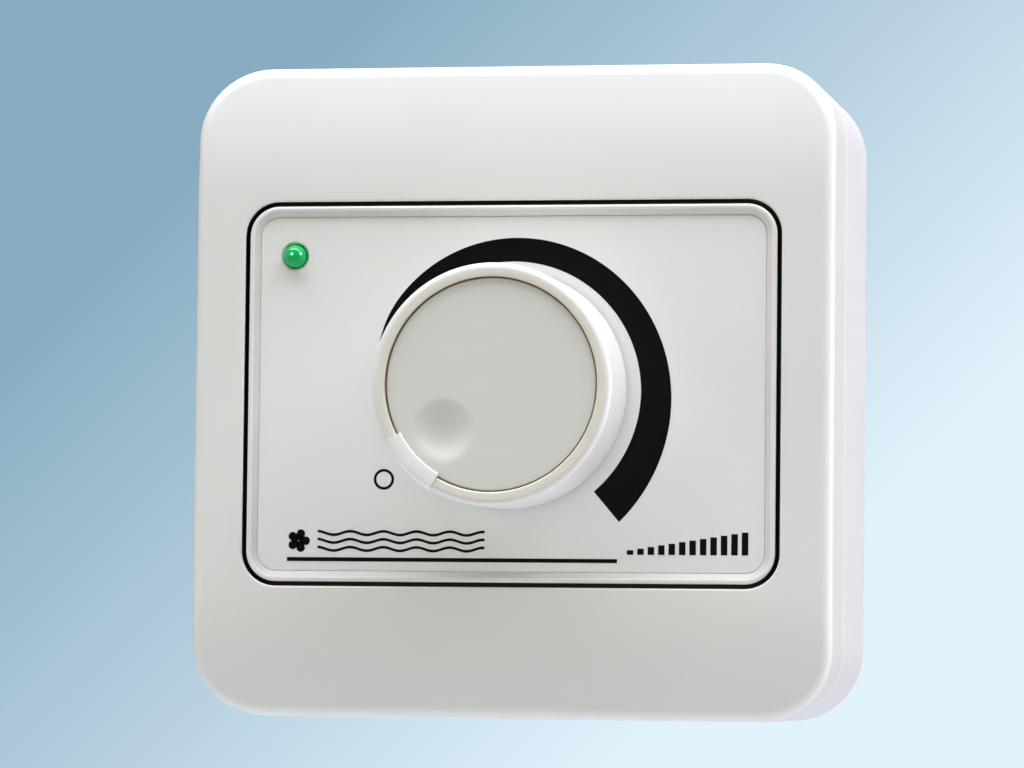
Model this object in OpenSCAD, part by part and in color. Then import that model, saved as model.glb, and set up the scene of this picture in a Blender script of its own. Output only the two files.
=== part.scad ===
// Surface-mounted rotary fan speed controller: a shallow wall box, a cover frame, a framed front
// panel with a printed label, and a knob on a switched potentiometer that drives a triac circuit.
// X is to the right, Z is up and the front faces -Y. The origin is the middle of the wall face, and
// a "depth" is a distance from the wall towards the front.

/* [Box and frame] */
// Width of the box and the frame
plate_w = 86; // [78:0.5:110]
// Height of the box and the frame
plate_h = 86.8; // [80:0.1:112]
// Radius of the four outer corners
corner_r = 9.6; // [5:0.1:14]
// Depth of the wall box
box_depth = 23; // [21:0.5:34]
// Wall thickness of the box and the frame
side_wall = 2.2; // [1.6:0.1:3]
// Thickness of the box floor
box_floor = 2; // [1.6:0.1:3]
// Depth of the cover frame
frame_depth = 13; // [12:0.5:18]
// Thickness of the frame's front wall
frame_skin = 4.8; // [4:0.1:6]
// Radius along the outer front edges
edge_fillet = 1.5; // [0.6:0.1:2.2]
// Half height of the frame's flat middle band
flat_half = 26.2; // [26.1:0.1:30]
// Angle that the top and bottom bands reach at the outer edge, as they fall back in one arc
band_angle = 12; // [4:0.5:14]

/* [Front panel] */
// Width of the panel
panel_w = 71; // [66:0.5:74]
// Height of the panel
panel_h = 50; // [46:0.5:54]
// Corner radius of the panel
panel_r = 4; // [2:0.1:6]
// Gap all round the panel
panel_gap = 0.6; // [0.3:0.05:1]
// Distance of the panel's middle below the knob axis
panel_drop = 0.45; // [0:0.05:2]
// Thickness of the panel under its label
panel_t = 2.2; // [1.6:0.1:3]
// Width of the raised rim
rim_w = 1.4; // [1:0.1:2.5]
// Height of the raised rim above the label's seat
rim_h = 0.8; // [0.5:0.1:1.5]
// Thickness of the printed label
label_t = 0.3; // [0.15:0.05:0.4]
// Width of the ledge that the panel seats on
ledge_w = 3; // [2:0.1:4]

/* [Knob] */
// Largest diameter of the knob
knob_d = 31.7; // [26:0.1:38]
// How much thinner the knob's foot is, in radius
knob_taper = 0.1; // [0:0.05:0.8]
// Height of the cap's face over the panel rim
knob_h = 12.8; // [10:0.1:18]
// Width of the ring round the cap
ring_w = 2; // [1.4:0.05:2.5]
// Thickness of the cap
cap_t = 1.8; // [1.4:0.1:2.4]
// Height of the ring over the cap
ring_h = 0.4; // [0.2:0.1:0.8]
// Wall thickness of the knob's skirt
skirt_t = 2; // [1.4:0.1:2.4]
// Radius of the finger dimple
dimple_r = 3.7; // [2.5:0.1:4.5]
// Depth of the finger dimple
dimple_depth = 0.9; // [0.3:0.1:1.1]
// Distance of the dimple from the axis
dimple_at = 8.7; // [6:0.1:9.5]
// Angle of the off mark, counter-clockwise from +X
off_angle = 224; // [210:1:240]
// Angle that the index piece spans
index_span = 32; // [16:1:50]
// Height of the index over the ring
index_rise = 0.15; // [0.05:0.05:0.3]

/* [Potentiometer] */
// Diameter of the shaft
shaft_d = 6; // [5:0.1:6.4]
// Running clearance round the shaft
shaft_clear = 0.05; // [0.02:0.01:0.1]
// Outer diameter of the threaded bushing
bushing_d = 10; // [9:0.1:11]
// Diameter of the metal can
can_d = 16.5; // [15:0.5:17.5]
// Length of the can
can_len = 7.6; // [7:0.1:9]
// Length of the switch behind the can
switch_len = 6.4; // [6:0.1:8]
// Across flats of the bushing nuts
nut_af = 14; // [13:0.5:15]
// Thickness of the bushing nuts
nut_t = 2.3; // [1.8:0.1:2.5]

/* [Support plate and board] */
// Spacing of the two plate screws
post_spacing = 60; // [58:0.1:62]
// Thickness of the support plate
plate_t = 1.2; // [1:0.1:1.6]
// Width of the plate's raised middle
bridge_w = 48; // [44:0.5:50]
// Height of the raised middle over the plate's feet
bridge_rise = 5.2; // [4:0.1:5.6]
// Thickness of the circuit board
board_t = 1.6; // [1:0.1:2]
// Width of the circuit board
board_w = 68; // [67:0.5:70]
// Top edge of the circuit board above the axis
board_top = 33; // [32.5:0.5:34]
// Bottom edge of the circuit board below the axis
board_bottom = 35; // [34.5:0.5:36]

/* [Wall fixing and cable] */
// Spacing of the two wall screws
wall_spacing = 60; // [56:0.5:64]
// Diameter of the wall screw holes
wall_hole_d = 4.4; // [3.5:0.1:5.5]
// Diameter of the cable that the grommet takes
cable_d = 8; // [6:0.5:9]
// Diameter of the cable opening in the box floor
entry_d = 20; // [18:0.5:22]

/* [Hidden] */
$fn = 72;
// Clearances and leads
seat = 0.05;            // clearance between pieces that sit in one another
touch = 0.2;            // gap kept between round surfaces that nearly touch
pin_r = 0.4;            // component lead
pin_hole_r = 0.55;      // drilled hole for a lead
pin_out = 1.3;          // length of a lead behind the board

// Depths of the box, the frame and the panel
front = box_depth + frame_depth;            // depth of the frame's and the rim's front plane
panel_face = front - rim_h;                 // depth of the label's seat
label_face = panel_face + label_t;
ledge_front = panel_face - panel_t;         // the panel sits here
ledge_back = front - frame_skin;
inner_w = plate_w - 2 * side_wall;
inner_h = plate_h - 2 * side_wall;
inner_r = corner_r - side_wall;
bend_z = plate_h / 2 - edge_fillet * (1 - sin(band_angle)) - flat_half;     // height of the arc
bend_r = bend_z / sin(band_angle);
bend_drop = bend_r * (1 - cos(band_angle));

// Posts, their screws and the support plate
post_r = 4.2;
post_hole_r = 1.5;
post_hole_depth = 14;
plate_screw_r = 1.4;
plate_head_r = 3;
plate_head_t = 2.1;
foot_back = box_depth;                      // the plate's feet lie on the posts
bridge_back = foot_back + bridge_rise;
bridge_front = bridge_back + plate_t;
bridge_top = 30;
bridge_bottom = -23;
foot_w = 14;

// Potentiometer, from its front end to the board
washer_t = 0.5;
washer_r = nut_af / 2 + 0.6;
thread_past_nut = 0.6;
bushing_end = label_face + washer_t + nut_t + thread_past_nut;
shaft_r = shaft_d / 2;
can_back = bridge_back - can_len;
can_wall = 0.6;
switch_back = can_back - switch_len;
switch_to_board = 0.3;
board_front = switch_back - switch_to_board;
board_back = board_front - board_t;
bushing_flange_t = 1;
wafer_t = 1;
wafer_tab_w = 14;
wafer_tab_z = 5.2;                          // the tab starts this far below the axis
wafer_front = bridge_back - can_wall - bushing_flange_t;
wafer_back = wafer_front - wafer_t;
track_t = 0.15;
wiper_gap = 0.15;
wiper_front = wafer_back - track_t - wiper_gap;
wiper_t = 1;
terminal_out = 1.6;
terminal_z = -can_d / 2 - terminal_out;
terminal_pitch = 5;
switch_pin_at = [4.5, 4];
contact_pivot = [-4.4, 4.6];

// Knob
knob_clear = 0.4;                           // between the knob's foot and the label
knob_back = label_face + knob_clear;
cap_d = knob_d - 2 * ring_w;
cap_face = front + knob_h;
cap_back = cap_face - cap_t;
ring_face = cap_face + ring_h;
ring_fillet = 0.9;
web_t = 1.2;
hub_r = 5;
hub_clear = 0.8;                            // between the knob's hub and the bushing
hub_back = bushing_end + hub_clear;
shaft_end_clear = 0.3;
shaft_end = cap_back - web_t - shaft_end_clear;
index_key = 0.6;                            // how far the index reaches below the cap
index_depth = cap_t + index_key;
index_lap = 0.45;                           // how far the index reaches over the cap's edge
index_gap_angle = 0.4;

// Status lamp
led_inset = [6.1, 6.65];                    // from the panel's left and top edges
led_at = [-panel_w / 2 + led_inset[0], panel_h / 2 - panel_drop - led_inset[1]];
led_r = 1.5;
led_flange_r = 1.9;
led_proud = 1.5;
led_top = label_face + led_proud;
led_behind = 0.3;                           // between the lamp's flange and the panel
led_flange_front = ledge_front - led_behind;
led_flange_t = 1;
led_pitch = 2.54;
led_spacer_r = 2.4;

// Board spacers and screws
spacer_at = [[-14, 5], [14, 5], [-20, -19.5], [20, -19.5]];
spacer_af = 5;
spacer_hole_r = 1.3;
board_screw_r = 1.2;
board_head_r = 2.4;
board_head_t = 1.5;

// Triac, bolted to the back of the support plate
triac_z = 11;           // lower end of the triac's body
triac_w = 10;
triac_body_h = 9;
triac_tab_h = 6.4;
triac_t = 4.4;
tab_t = 1.3;
pad_t = 0.3;
tab_front = bridge_back - pad_t;
tab_hole_up = 3.6;
triac_hole_z = triac_z + triac_body_h + tab_hole_up;
lead_down = 1.2;        // how far below the body the leads turn
m3_r = 1.5;
lead_pitch = 2.54;

// Choke and capacitors
choke_at = [21, 20.5];
choke_outer = 10;
choke_inner = 5.6;
choke_core_t = 7;
choke_wire = 1;
choke_up = 0.25;
choke_back = board_front + choke_up;
choke_gap_angle = 36;
choke_lead_angle = choke_gap_angle / 2 + 3;
choke_leads = [for (side = [-1, 1]) choke_at + (choke_outer + choke_wire + touch)
               * [side * sin(choke_lead_angle), -cos(choke_lead_angle)]];

cap_box = [17.5, 7.6, 12];          // length, width and height
cap_at = [-15.5, 19];
cap_pitch = 15;
film_box = [7.2, 3.6, 6.5];
film_at = [29, -12];
film_pitch = 5;

// Fuse
fuse_at = [-22, -12.5];
fuse_r = 2.6;
fuse_len = 20;
fuse_cap_len = 5;
fuse_up = 4.4;                      // height of the fuse's axis over the board
clip_t = 0.5;
clip_w = 4.4;

// Terminal block
poles = 4;
pole_pitch = 5.08;
block_z = [-34.2, -25.4];
block_h = 10;
block_w = poles * pole_pitch + 1;
clamp = [3.7, 6.2, 4.2];
clamp_up = 1.8;
block_screw_r = 1.4;
block_head_r = 1.9;

// Trimmer, resistors and diac
trimmer_at = [18, -11];
trimmer_r = 3.4;
trimmer_t = 3.4;
rotor_r = 2;
rotor_rise = 0.5;

resistor_z = [-13.5, -17.2, -20.9];
resistor_r = 1.15;
resistor_len = 6.3;
resistor_pitch = 10;
resistor_x = 3;
diac_at = [27.5, -19];
diac_r = 0.9;
diac_len = 3.8;
diac_pitch = 7.5;

earth_below_ledge = 5.5;
earth_at = [17.5, panel_h / 2 - ledge_w - earth_below_ledge];

// ---- helpers -----------------------------------------------------------------------------------

// Extrudes an outline drawn in X and Z from one depth to another.
module slab(from, to) {
    translate([0, -from, 0]) rotate([90, 0, 0]) linear_extrude(to - from) children();
}

// A round bar or hole along the front-to-back direction.
module rod(r, from, to, at = [0, 0]) {
    slab(from, to) translate(at) circle(r);
}

// A box given by its middle, its size in X and Z, and two depths.
module block(size, from, to, at = [0, 0]) {
    slab(from, to) translate(at) square(size, center = true);
}

// Turns an outline of (radius, depth) round the line through a point of the front view.
module turned(at = [0, 0]) {
    translate([at[0], 0, at[1]]) rotate([90, 0, 0]) rotate_extrude() children();
}

// A rectangle with round corners, exact arcs included.
module round_rect(w, h, r) {
    difference() {
        square([w, h], center = true);
        for (sx = [-1, 1]) for (sz = [-1, 1])
            translate([sx * (w / 2 - r), sz * (h / 2 - r)]) difference() {
                translate([sx > 0 ? 0 : -r - 1, sz > 0 ? 0 : -r - 1]) square(r + 1);
                circle(r);
            }
    }
}

// A sector of a disc that spans less than half a turn, as a triangle fan.
module wedge(middle, span, r) {
    half = span / 2;
    polygon([[0, 0], r * [cos(middle - half), sin(middle - half)], r * [cos(middle), sin(middle)],
             r * [cos(middle + half), sin(middle + half)]]);
}

// Both ends of a two-lead component that lies along X.
function lead_pair(at, pitch) = [[at[0] - pitch / 2, at[1]], [at[0] + pitch / 2, at[1]]];

// An axial component's two leads, from the body's ends down through the board.
module axial_leads(at, length, pitch, up) {
    for (side = [-1, 1]) {
        translate([at[0] + side * (pitch + length) / 4, -board_front - up, at[1]])
            rotate([0, 90, 0]) cylinder(h = (pitch - length) / 2, r = 0.8 * pin_r, center = true);
        rod(pin_r, board_back - pin_out, board_front + up, [at[0] + side * pitch / 2, at[1]]);
    }
}

// ---- box and frame -----------------------------------------------------------------------------

module surface_box() {
    knockout_r = 8;
    knockout_wall = 0.8;
    groove = 0.8;
    rib_t = 2;
    rib_w = inner_w / 2 - post_spacing / 2 + side_wall / 2;
    root = box_floor / 2;               // posts and ribs start inside the floor
    color("whitesmoke") difference() {
        union() {
            difference() {
                slab(0, box_depth) round_rect(plate_w, plate_h, corner_r);
                slab(box_floor, box_depth + 1) round_rect(inner_w, inner_h, inner_r);
            }
            for (side = [-1, 1]) {
                rod(post_r, root, box_depth, [side * post_spacing / 2, 0]);
                block([rib_w, rib_t], root, box_depth - rib_t,
                      [side * (post_spacing / 2 + rib_w / 2), 0]);
            }
        }
        for (side = [-1, 1]) {
            rod(post_hole_r, box_depth - post_hole_depth, box_depth + 1, [side * post_spacing / 2, 0]);
            rod(wall_hole_d / 2, -1, box_floor + 1, [0, side * wall_spacing / 2]);
        }
        rod(entry_d / 2, -1, box_floor + 1);
        translate([0, -box_depth / 2, -plate_h / 2 - 1]) difference() {
            cylinder(h = 1 + side_wall - knockout_wall, r = knockout_r);
            translate([0, 0, -1]) cylinder(h = 3 + side_wall, r = knockout_r - groove);
        }
    }
}

module cable_grommet() {
    flange_t = 1.2;
    flange_w = 2;
    dish = 1.5;                         // where the cone meets the flange
    set_back = 0.3;                     // keeps the rubber off the wall
    lip_r = entry_d / 2 - seat;
    neck_r = cable_d / 2 + 1;
    flange_top = box_floor + flange_t;
    neck_top = flange_top + 3.8;
    color("dimgray") turned() polygon([
        [cable_d / 2, set_back], [lip_r, set_back], [lip_r, box_floor],
        [lip_r + flange_w, box_floor], [lip_r + flange_w, flange_top],
        [lip_r - dish, flange_top], [neck_r, neck_top], [cable_d / 2, neck_top]]);
}

// Half of the frame's upright section as [height, depth]: flat, one falling arc, a round edge.
function band_points(steps = 8) =
    let (edge_z = plate_h / 2 - edge_fillet,
         centre = front - bend_drop - edge_fillet * cos(band_angle))
    concat([[0, front]],
           [for (i = [0:steps]) let (a = band_angle * i / steps)
               [flat_half + bend_r * sin(a), front - bend_r * (1 - cos(a))]],
           [for (i = [1:steps]) let (a = (90 - band_angle) * (1 - i / steps))
               [edge_z + edge_fillet * cos(a), centre + edge_fillet * sin(a)]],
           [[plate_h / 2, box_depth - 1]]);

// Half of the frame's level section as [width, depth]: flat with a round edge.
function side_points(steps = 6) =
    let (edge_x = plate_w / 2 - edge_fillet)
    concat([[0, front]],
           [for (i = [0:steps]) let (a = 90 * (1 - i / steps))
               [edge_x + edge_fillet * cos(a), front - edge_fillet + edge_fillet * sin(a)]],
           [[plate_w / 2, box_depth - 1]]);

// Mirrors a half section to its other side.
function whole(half) = concat(half, [for (i = [len(half) - 1:-1:0]) [-half[i][0], half[i][1]]]);

module outer_frame() {
    opening_w = panel_w + 2 * panel_gap;
    opening_h = panel_h + 2 * panel_gap;
    length = plate_w + plate_h;
    color("gainsboro") difference() {
        intersection() {
            slab(box_depth, front + 1) round_rect(plate_w, plate_h, corner_r);
            rotate([90, 0, 90]) linear_extrude(length, center = true)
                polygon([for (p = whole(band_points())) [-p[1], p[0]]]);
            linear_extrude(length, center = true)
                polygon([for (p = whole(side_points())) [p[0], -p[1]]]);
        }
        slab(box_depth - 1, ledge_back) round_rect(inner_w, inner_h, inner_r);
        slab(ledge_front, front + 1) translate([0, -panel_drop])
            round_rect(opening_w, opening_h, panel_r + panel_gap);
        slab(ledge_back - 1, ledge_front + 1) translate([0, -panel_drop])
            round_rect(panel_w - 2 * ledge_w, panel_h - 2 * ledge_w, panel_r - 1);
    }
}

// ---- front panel -------------------------------------------------------------------------------

module front_panel() {
    label_r = panel_r - rim_w;
    bead = 0.3;
    color("gainsboro") difference() {
        translate([0, 0, -panel_drop]) difference() {
            union() {
                slab(ledge_front, front - bead) round_rect(panel_w, panel_h, panel_r);
                slab(front - bead - 0.01, front)
                    round_rect(panel_w - 2 * bead, panel_h - 2 * bead, panel_r - bead);
            }
            slab(panel_face, front + 1)
                round_rect(panel_w - 2 * rim_w, panel_h - 2 * rim_w, label_r);
        }
        rod(bushing_d / 2 + seat, ledge_front - 1, front + 1);
        rod(led_r + touch, ledge_front - 1, front + 1, led_at);
    }
}

module panel_label() {
    label_r = panel_r - rim_w;
    color("lightgray") slab(panel_face, label_face) difference() {
        translate([0, -panel_drop]) round_rect(panel_w - 2 * rim_w - 2 * seat,
                                               panel_h - 2 * rim_w - 2 * seat, label_r - seat);
        circle(bushing_d / 2 + 0.5);
        translate(led_at) circle(led_r + 2 * touch);
    }
}

// ---- knob --------------------------------------------------------------------------------------

// The ring sector that the index piece fills, grown by a clearance on every side.
module index_sector(grow) {
    inner = cap_d / 2 - index_lap;
    difference() {
        intersection() {
            circle(knob_d / 2 + index_rise + (grow > 0 ? 1 : 0));
            wedge(off_angle, index_span + (grow > 0 ? index_gap_angle : 0), knob_d);
        }
        circle(inner - grow);
    }
}

module knob_body() {
    recess_r = cap_d / 2 + seat;
    outer_r = knob_d / 2;
    foot_r = outer_r - knob_taper;
    hollow_back_r = foot_r - skirt_t;
    web_back = cap_back - web_t;
    hollow_front_r = outer_r - skirt_t;
    color("floralwhite") difference() {
        union() {
            turned() difference() {
                polygon([[0, knob_back], [foot_r, knob_back], [outer_r, ring_face - ring_fillet],
                         [outer_r - ring_fillet, ring_face - ring_fillet],
                         [outer_r - ring_fillet, ring_face], [0, ring_face]]);
                polygon([[-1, knob_back - 1], [hollow_back_r, knob_back - 1],
                         [hollow_front_r, web_back], [-1, web_back]]);
            }
            turned() intersection() {
                translate([outer_r - ring_fillet, ring_face - ring_fillet]) circle(ring_fillet);
                translate([outer_r - ring_fillet, ring_face - ring_fillet])
                    square(2 * ring_fillet);
            }
            rod(hub_r, hub_back, web_back + 0.1);
        }
        rod(recess_r, cap_back, ring_face + 1);
        slab(cap_face - index_depth, ring_face + 1) index_sector(seat);
        // D-shaped seat of the shaft
        slab(hub_back - 1, shaft_end + 0.1) intersection() {
            circle(shaft_r + seat / 2);
            translate([-shaft_r - 1, -shaft_r - 1]) square([shaft_d + 2, shaft_d + 0.5 + seat]);
        }
    }
}

module knob_cap() {
    sphere_r = (pow(dimple_r, 2) + pow(dimple_depth, 2)) / (2 * dimple_depth);
    middle = dimple_at * [cos(off_angle), sin(off_angle)];
    color("silver") difference() {
        rod(cap_d / 2, cap_back, cap_face);
        slab(cap_back - 1, cap_face + 1) index_sector(seat);
        translate([middle[0], -(cap_face - dimple_depth + sphere_r), middle[1]])
            sphere(r = sphere_r);
    }
}

module knob_index() {
    color("white") slab(cap_face - index_depth + seat, ring_face + index_rise) index_sector(0);
}

// ---- potentiometer and switch ------------------------------------------------------------------

module pot_shaft() {
    flat_at = shaft_r - 0.5;
    color("lightsteelblue") difference() {
        rod(shaft_r, can_back - 0.6, shaft_end);
        slab(hub_back - 0.5, shaft_end + 1)
            translate([-shaft_r - 1, flat_at]) square([shaft_d + 2, shaft_d]);
    }
}

module pot_bushing() {
    bore_r = shaft_r + shaft_clear;
    flange_r = can_d / 2 - can_wall - touch;
    color("goldenrod") turned() polygon([
        [bore_r, wafer_front], [flange_r, wafer_front], [flange_r, bridge_back - can_wall],
        [bushing_d / 2, bridge_back - can_wall], [bushing_d / 2, bushing_end - 0.5],
        [bushing_d / 2 - 0.5, bushing_end], [bore_r, bushing_end]]);
}

module pot_washers() {
    color("silver") for (back = [bridge_front, label_face]) slab(back, back + washer_t) difference() {
        circle(washer_r);
        circle(bushing_d / 2 + seat);
    }
}

module pot_nuts() {
    color("lightgray") for (back = [bridge_front, label_face])
        slab(back + washer_t, back + washer_t + nut_t) difference() {
            circle(nut_af / 2 / cos(30), $fn = 6);
            circle(bushing_d / 2 + seat);
        }
}

module pot_housing() {
    notch_w = wafer_tab_w + 2 * touch;
    inner = can_d / 2 - can_wall;
    color("silver") difference() {
        rod(can_d / 2, can_back, bridge_back);
        rod(inner, can_back - 1, bridge_back - can_wall);
        rod(bushing_d / 2 + seat, can_back - 1, bridge_back + 1);
        slab(wafer_back - 0.5, wafer_front + 0.1) translate([-notch_w / 2, -can_d])
            square([notch_w, can_d - wafer_tab_z + 1.4]);
    }
}

module pot_wafer() {
    color("saddlebrown") slab(wafer_back, wafer_front) difference() {
        union() {
            circle(can_d / 2 - can_wall - seat);
            translate([-wafer_tab_w / 2, -can_d / 2 - 2.4])
                square([wafer_tab_w, can_d / 2 + 2.4 - wafer_tab_z]);
        }
        circle(shaft_r + touch);
    }
}

module pot_track() {
    gap_angle = 60;
    color("black") slab(wafer_back - track_t, wafer_back) difference() {
        circle(6.6);
        circle(4.6);
        wedge(-90, gap_angle, 9);
    }
}

module pot_wiper() {
    arm_w = 2.4;
    color("gold") slab(wiper_front - wiper_t, wiper_front) difference() {
        union() {
            circle(4.2);
            intersection() {
                circle(6.4);
                rotate(off_angle) translate([0, -arm_w / 2]) square([8, arm_w]);
            }
        }
        circle(shaft_r + 0.01);
    }
}

module pot_terminals() {
    tab = [1.2, 0.6];
    color("silver") for (i = [-1, 0, 1])
        block(tab, board_back - pin_out, wafer_back, [i * terminal_pitch, terminal_z]);
}

module switch_housing() {
    wall = 0.9;
    outer = can_d / 2 - 0.3;
    color("darkslategray") difference() {
        rod(outer, switch_back, can_back);
        rod(outer - wall, switch_back + wall, can_back + 1);
        for (side = [-1, 1])
            rod(pin_hole_r, switch_back - 1, can_back, [side * switch_pin_at[0], switch_pin_at[1]]);
    }
}

module switch_cam() {
    cam_t = 2.4;
    cam_front = can_back - 0.8;
    lobe = [4.6, 1.8];
    color("ivory") slab(cam_front - cam_t, cam_front) {
        circle(3.2);
        rotate(off_angle) translate([0, -lobe[1] / 2]) square(lobe);
    }
}

module switch_contact() {
    blade_t = 0.4;
    blade_len = 7.8;
    tip = [0.8, 0.8];
    color("goldenrod") slab(switch_back + 1.2, switch_back + 3.6) translate(contact_pivot) {
        translate([0, -blade_t / 2]) square([blade_len, blade_t]);
        circle(0.5);
        translate([blade_len - tip[0], -tip[1]]) square(tip);
    }
}

module switch_terminals() {
    color("silver") for (side = [-1, 1])
        rod(pin_r, board_back - pin_out, switch_back + 1, [side * switch_pin_at[0], switch_pin_at[1]]);
}

// ---- support plate and board -------------------------------------------------------------------

module support_plate() {
    foot_end = post_spacing / 2 + post_r + 1.5;
    foot_start = bridge_w / 2 - plate_t;
    color("lightsteelblue") difference() {
        union() {
            slab(bridge_back, bridge_front) translate([-bridge_w / 2, bridge_bottom])
                square([bridge_w, bridge_top - bridge_bottom]);
            for (side = [-1, 1]) {
                block([plate_t, foot_w], foot_back, bridge_front,
                      [side * (bridge_w / 2 - plate_t / 2), 0]);
                block([foot_end - foot_start, foot_w], foot_back, foot_back + plate_t,
                      [side * (foot_end + foot_start) / 2, 0]);
            }
        }
        rod(bushing_d / 2 + seat, bridge_back - 1, bridge_front + 1);
        for (side = [-1, 1]) rod(plate_screw_r + 0.3, foot_back - 1, bridge_back,
                                 [side * post_spacing / 2, 0]);
        for (at = spacer_at) rod(board_screw_r + 0.1, bridge_back - 1, bridge_front + 1, at);
        rod(m3_r + 0.1, bridge_back - 1, bridge_front + 1, [0, triac_hole_z]);
        rod(m3_r + 0.1, bridge_back - 1, bridge_front + 1, earth_at);
        rod(rotor_r + 1, bridge_back - 1, bridge_front + 1, trimmer_at);
    }
}

// A pan-head screw that points at the wall, with a cross slot.
module pan_screw(shank_r, head_r, head_t, from, to, at) {
    difference() {
        union() {
            rod(shank_r, from, to + 0.1, at);
            rod(head_r, to, to + head_t, at);
        }
        slab(to + head_t / 2, to + head_t + 1) translate(at) {
            square([head_r * 1.2, head_r * 0.25], center = true);
            square([head_r * 0.25, head_r * 1.2], center = true);
        }
    }
}

module plate_screws() {
    back = box_depth - post_hole_depth + 2;
    color("silver") for (side = [-1, 1])
        pan_screw(plate_screw_r, plate_head_r, plate_head_t, back, foot_back + plate_t,
                  [side * post_spacing / 2, 0]);
}

module board_outline() {
    notch_x = post_spacing / 2 - post_r - 1.3;
    notch_h = 2 * post_r + 6.6;
    difference() {
        translate([-board_w / 2, -board_bottom]) square([board_w, board_top + board_bottom]);
        for (side = [-1, 1]) translate([side > 0 ? notch_x : -board_w / 2 - 1, -notch_h / 2])
            square([board_w / 2 + 1 - notch_x, notch_h]);
    }
}

// Every small lead that passes through the board.
function lead_points() = concat(
    lead_pair([0, switch_pin_at[1]], 2 * switch_pin_at[0]),
    lead_pair(cap_at, cap_pitch), lead_pair(film_at, film_pitch),
    [for (z = resistor_z) each lead_pair([resistor_x, z], resistor_pitch)],
    lead_pair(diac_at, diac_pitch),
    [for (i = [-1, 0, 1]) [i * lead_pitch, triac_z - lead_down]],
    [for (i = [-1, 1]) [led_at[0] + i * led_pitch / 2, led_at[1]]],
    choke_leads);

module circuit_board() {
    terminal_hole_r = 0.9;
    color("darkgreen") slab(board_back, board_front) difference() {
        board_outline();
        for (p = lead_points()) translate(p) circle(pin_hole_r);
        for (i = [-1, 0, 1]) translate([i * terminal_pitch, terminal_z]) circle(terminal_hole_r);
        for (at = spacer_at) translate(at) circle(board_screw_r + 0.1);
    }
}

module board_spacers() {
    color("silver") for (at = spacer_at) slab(board_front, bridge_back) translate(at) difference() {
        circle(spacer_af / 2 / cos(30), $fn = 6);
        circle(spacer_hole_r);
    }
}

module board_screws() {
    reach = 5;
    color("silver") for (at = spacer_at) {
        pan_screw(board_screw_r, board_head_r, board_head_t, bridge_back - reach, bridge_front, at);
        rod(board_screw_r, board_back - 0.1, board_front + reach, at);
        rod(board_head_r, board_back - board_head_t, board_back, at);
    }
}

// ---- power parts -------------------------------------------------------------------------------

module triac_body() {
    color("black") block([triac_w, triac_body_h], tab_front - triac_t, tab_front - tab_t,
                         [0, triac_z + triac_body_h / 2]);
}

module triac_tab() {
    lead_w = 0.8;
    lead_z = triac_z - lead_down;
    lead_depth = tab_front - triac_t + 1.4;
    color("silver") {
        slab(tab_front - tab_t, tab_front) difference() {
            translate([-triac_w / 2, triac_z]) square([triac_w, triac_body_h + triac_tab_h]);
            translate([0, triac_hole_z]) circle(m3_r + 0.2);
        }
        for (i = [-1, 0, 1]) {
            rod(pin_r, board_back - pin_out, lead_depth + lead_w / 2, [i * lead_pitch, lead_z]);
            block([lead_w, triac_z - lead_z], lead_depth - lead_w / 2, lead_depth + lead_w / 2,
                  [i * lead_pitch, (triac_z + lead_z) / 2]);
        }
    }
}

module thermal_pad() {
    color("lightpink") slab(tab_front, bridge_back) difference() {
        translate([-triac_w / 2 - 0.8, triac_z - 0.6])
            square([triac_w + 1.6, triac_body_h + triac_tab_h + 1.2]);
        translate([0, triac_hole_z]) circle(m3_r + 0.2);
    }
}

module triac_screw() {
    back = tab_front - tab_t - 3;
    color("silver") pan_screw(m3_r - 0.05, 2.7, 1.5, back, bridge_front, [0, triac_hole_z]);
}

module triac_nut() {
    color("silver") slab(tab_front - tab_t - 2.4, tab_front - tab_t) translate([0, triac_hole_z])
        difference() {
            circle(5.5 / 2 / cos(30), $fn = 6);
            circle(m3_r);
        }
}

module choke_core() {
    back = choke_back + choke_wire + seat;
    color("gold") turned(choke_at) translate([choke_inner, back])
        square([choke_outer - choke_inner, choke_core_t]);
}

module choke_winding() {
    inner = choke_inner - choke_wire;
    outer = choke_outer + choke_wire;
    height = choke_core_t + 2 * choke_wire + 2 * seat;
    color("chocolate") {
        difference() {
            turned(choke_at) translate([inner, choke_back]) square([outer - inner, height]);
            turned(choke_at) translate([choke_inner - seat, choke_back + choke_wire])
                square([choke_outer - choke_inner + 2 * seat, choke_core_t + 2 * seat]);
            slab(choke_back - 1, choke_back + height + 1) translate(choke_at)
                wedge(-90, choke_gap_angle, 2 * outer);
        }
        for (p = choke_leads) rod(pin_r, board_back - pin_out, choke_back + 3, p);
    }
}

module suppression_capacitor() {
    color("gold") {
        block([cap_box[0], cap_box[1]], board_front, board_front + cap_box[2], cap_at);
        for (p = lead_pair(cap_at, cap_pitch)) rod(pin_r, board_back - pin_out, board_front + 1, p);
    }
}

module timing_capacitor() {
    color("firebrick") {
        block([film_box[0], film_box[1]], board_front, board_front + film_box[2], film_at);
        for (p = lead_pair(film_at, film_pitch)) rod(pin_r, board_back - pin_out, board_front + 1, p);
    }
}

module resistors() {
    up = resistor_r + touch;
    color("burlywood") for (z = resistor_z) {
        translate([resistor_x, -board_front - up, z]) rotate([0, 90, 0])
            cylinder(h = resistor_len, r = resistor_r, center = true);
        axial_leads([resistor_x, z], resistor_len, resistor_pitch, up);
    }
}

module diac() {
    up = diac_r + touch;
    color("royalblue") {
        translate([diac_at[0], -board_front - up, diac_at[1]]) rotate([0, 90, 0])
            cylinder(h = diac_len, r = diac_r, center = true);
        axial_leads(diac_at, diac_len, diac_pitch, up);
    }
}

// ---- fuse --------------------------------------------------------------------------------------

module fuse_bar(r, length, shift = 0) {
    translate([fuse_at[0] + shift, -board_front - fuse_up, fuse_at[1]]) rotate([0, 90, 0])
        cylinder(h = length, r = r, center = true);
}

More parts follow.
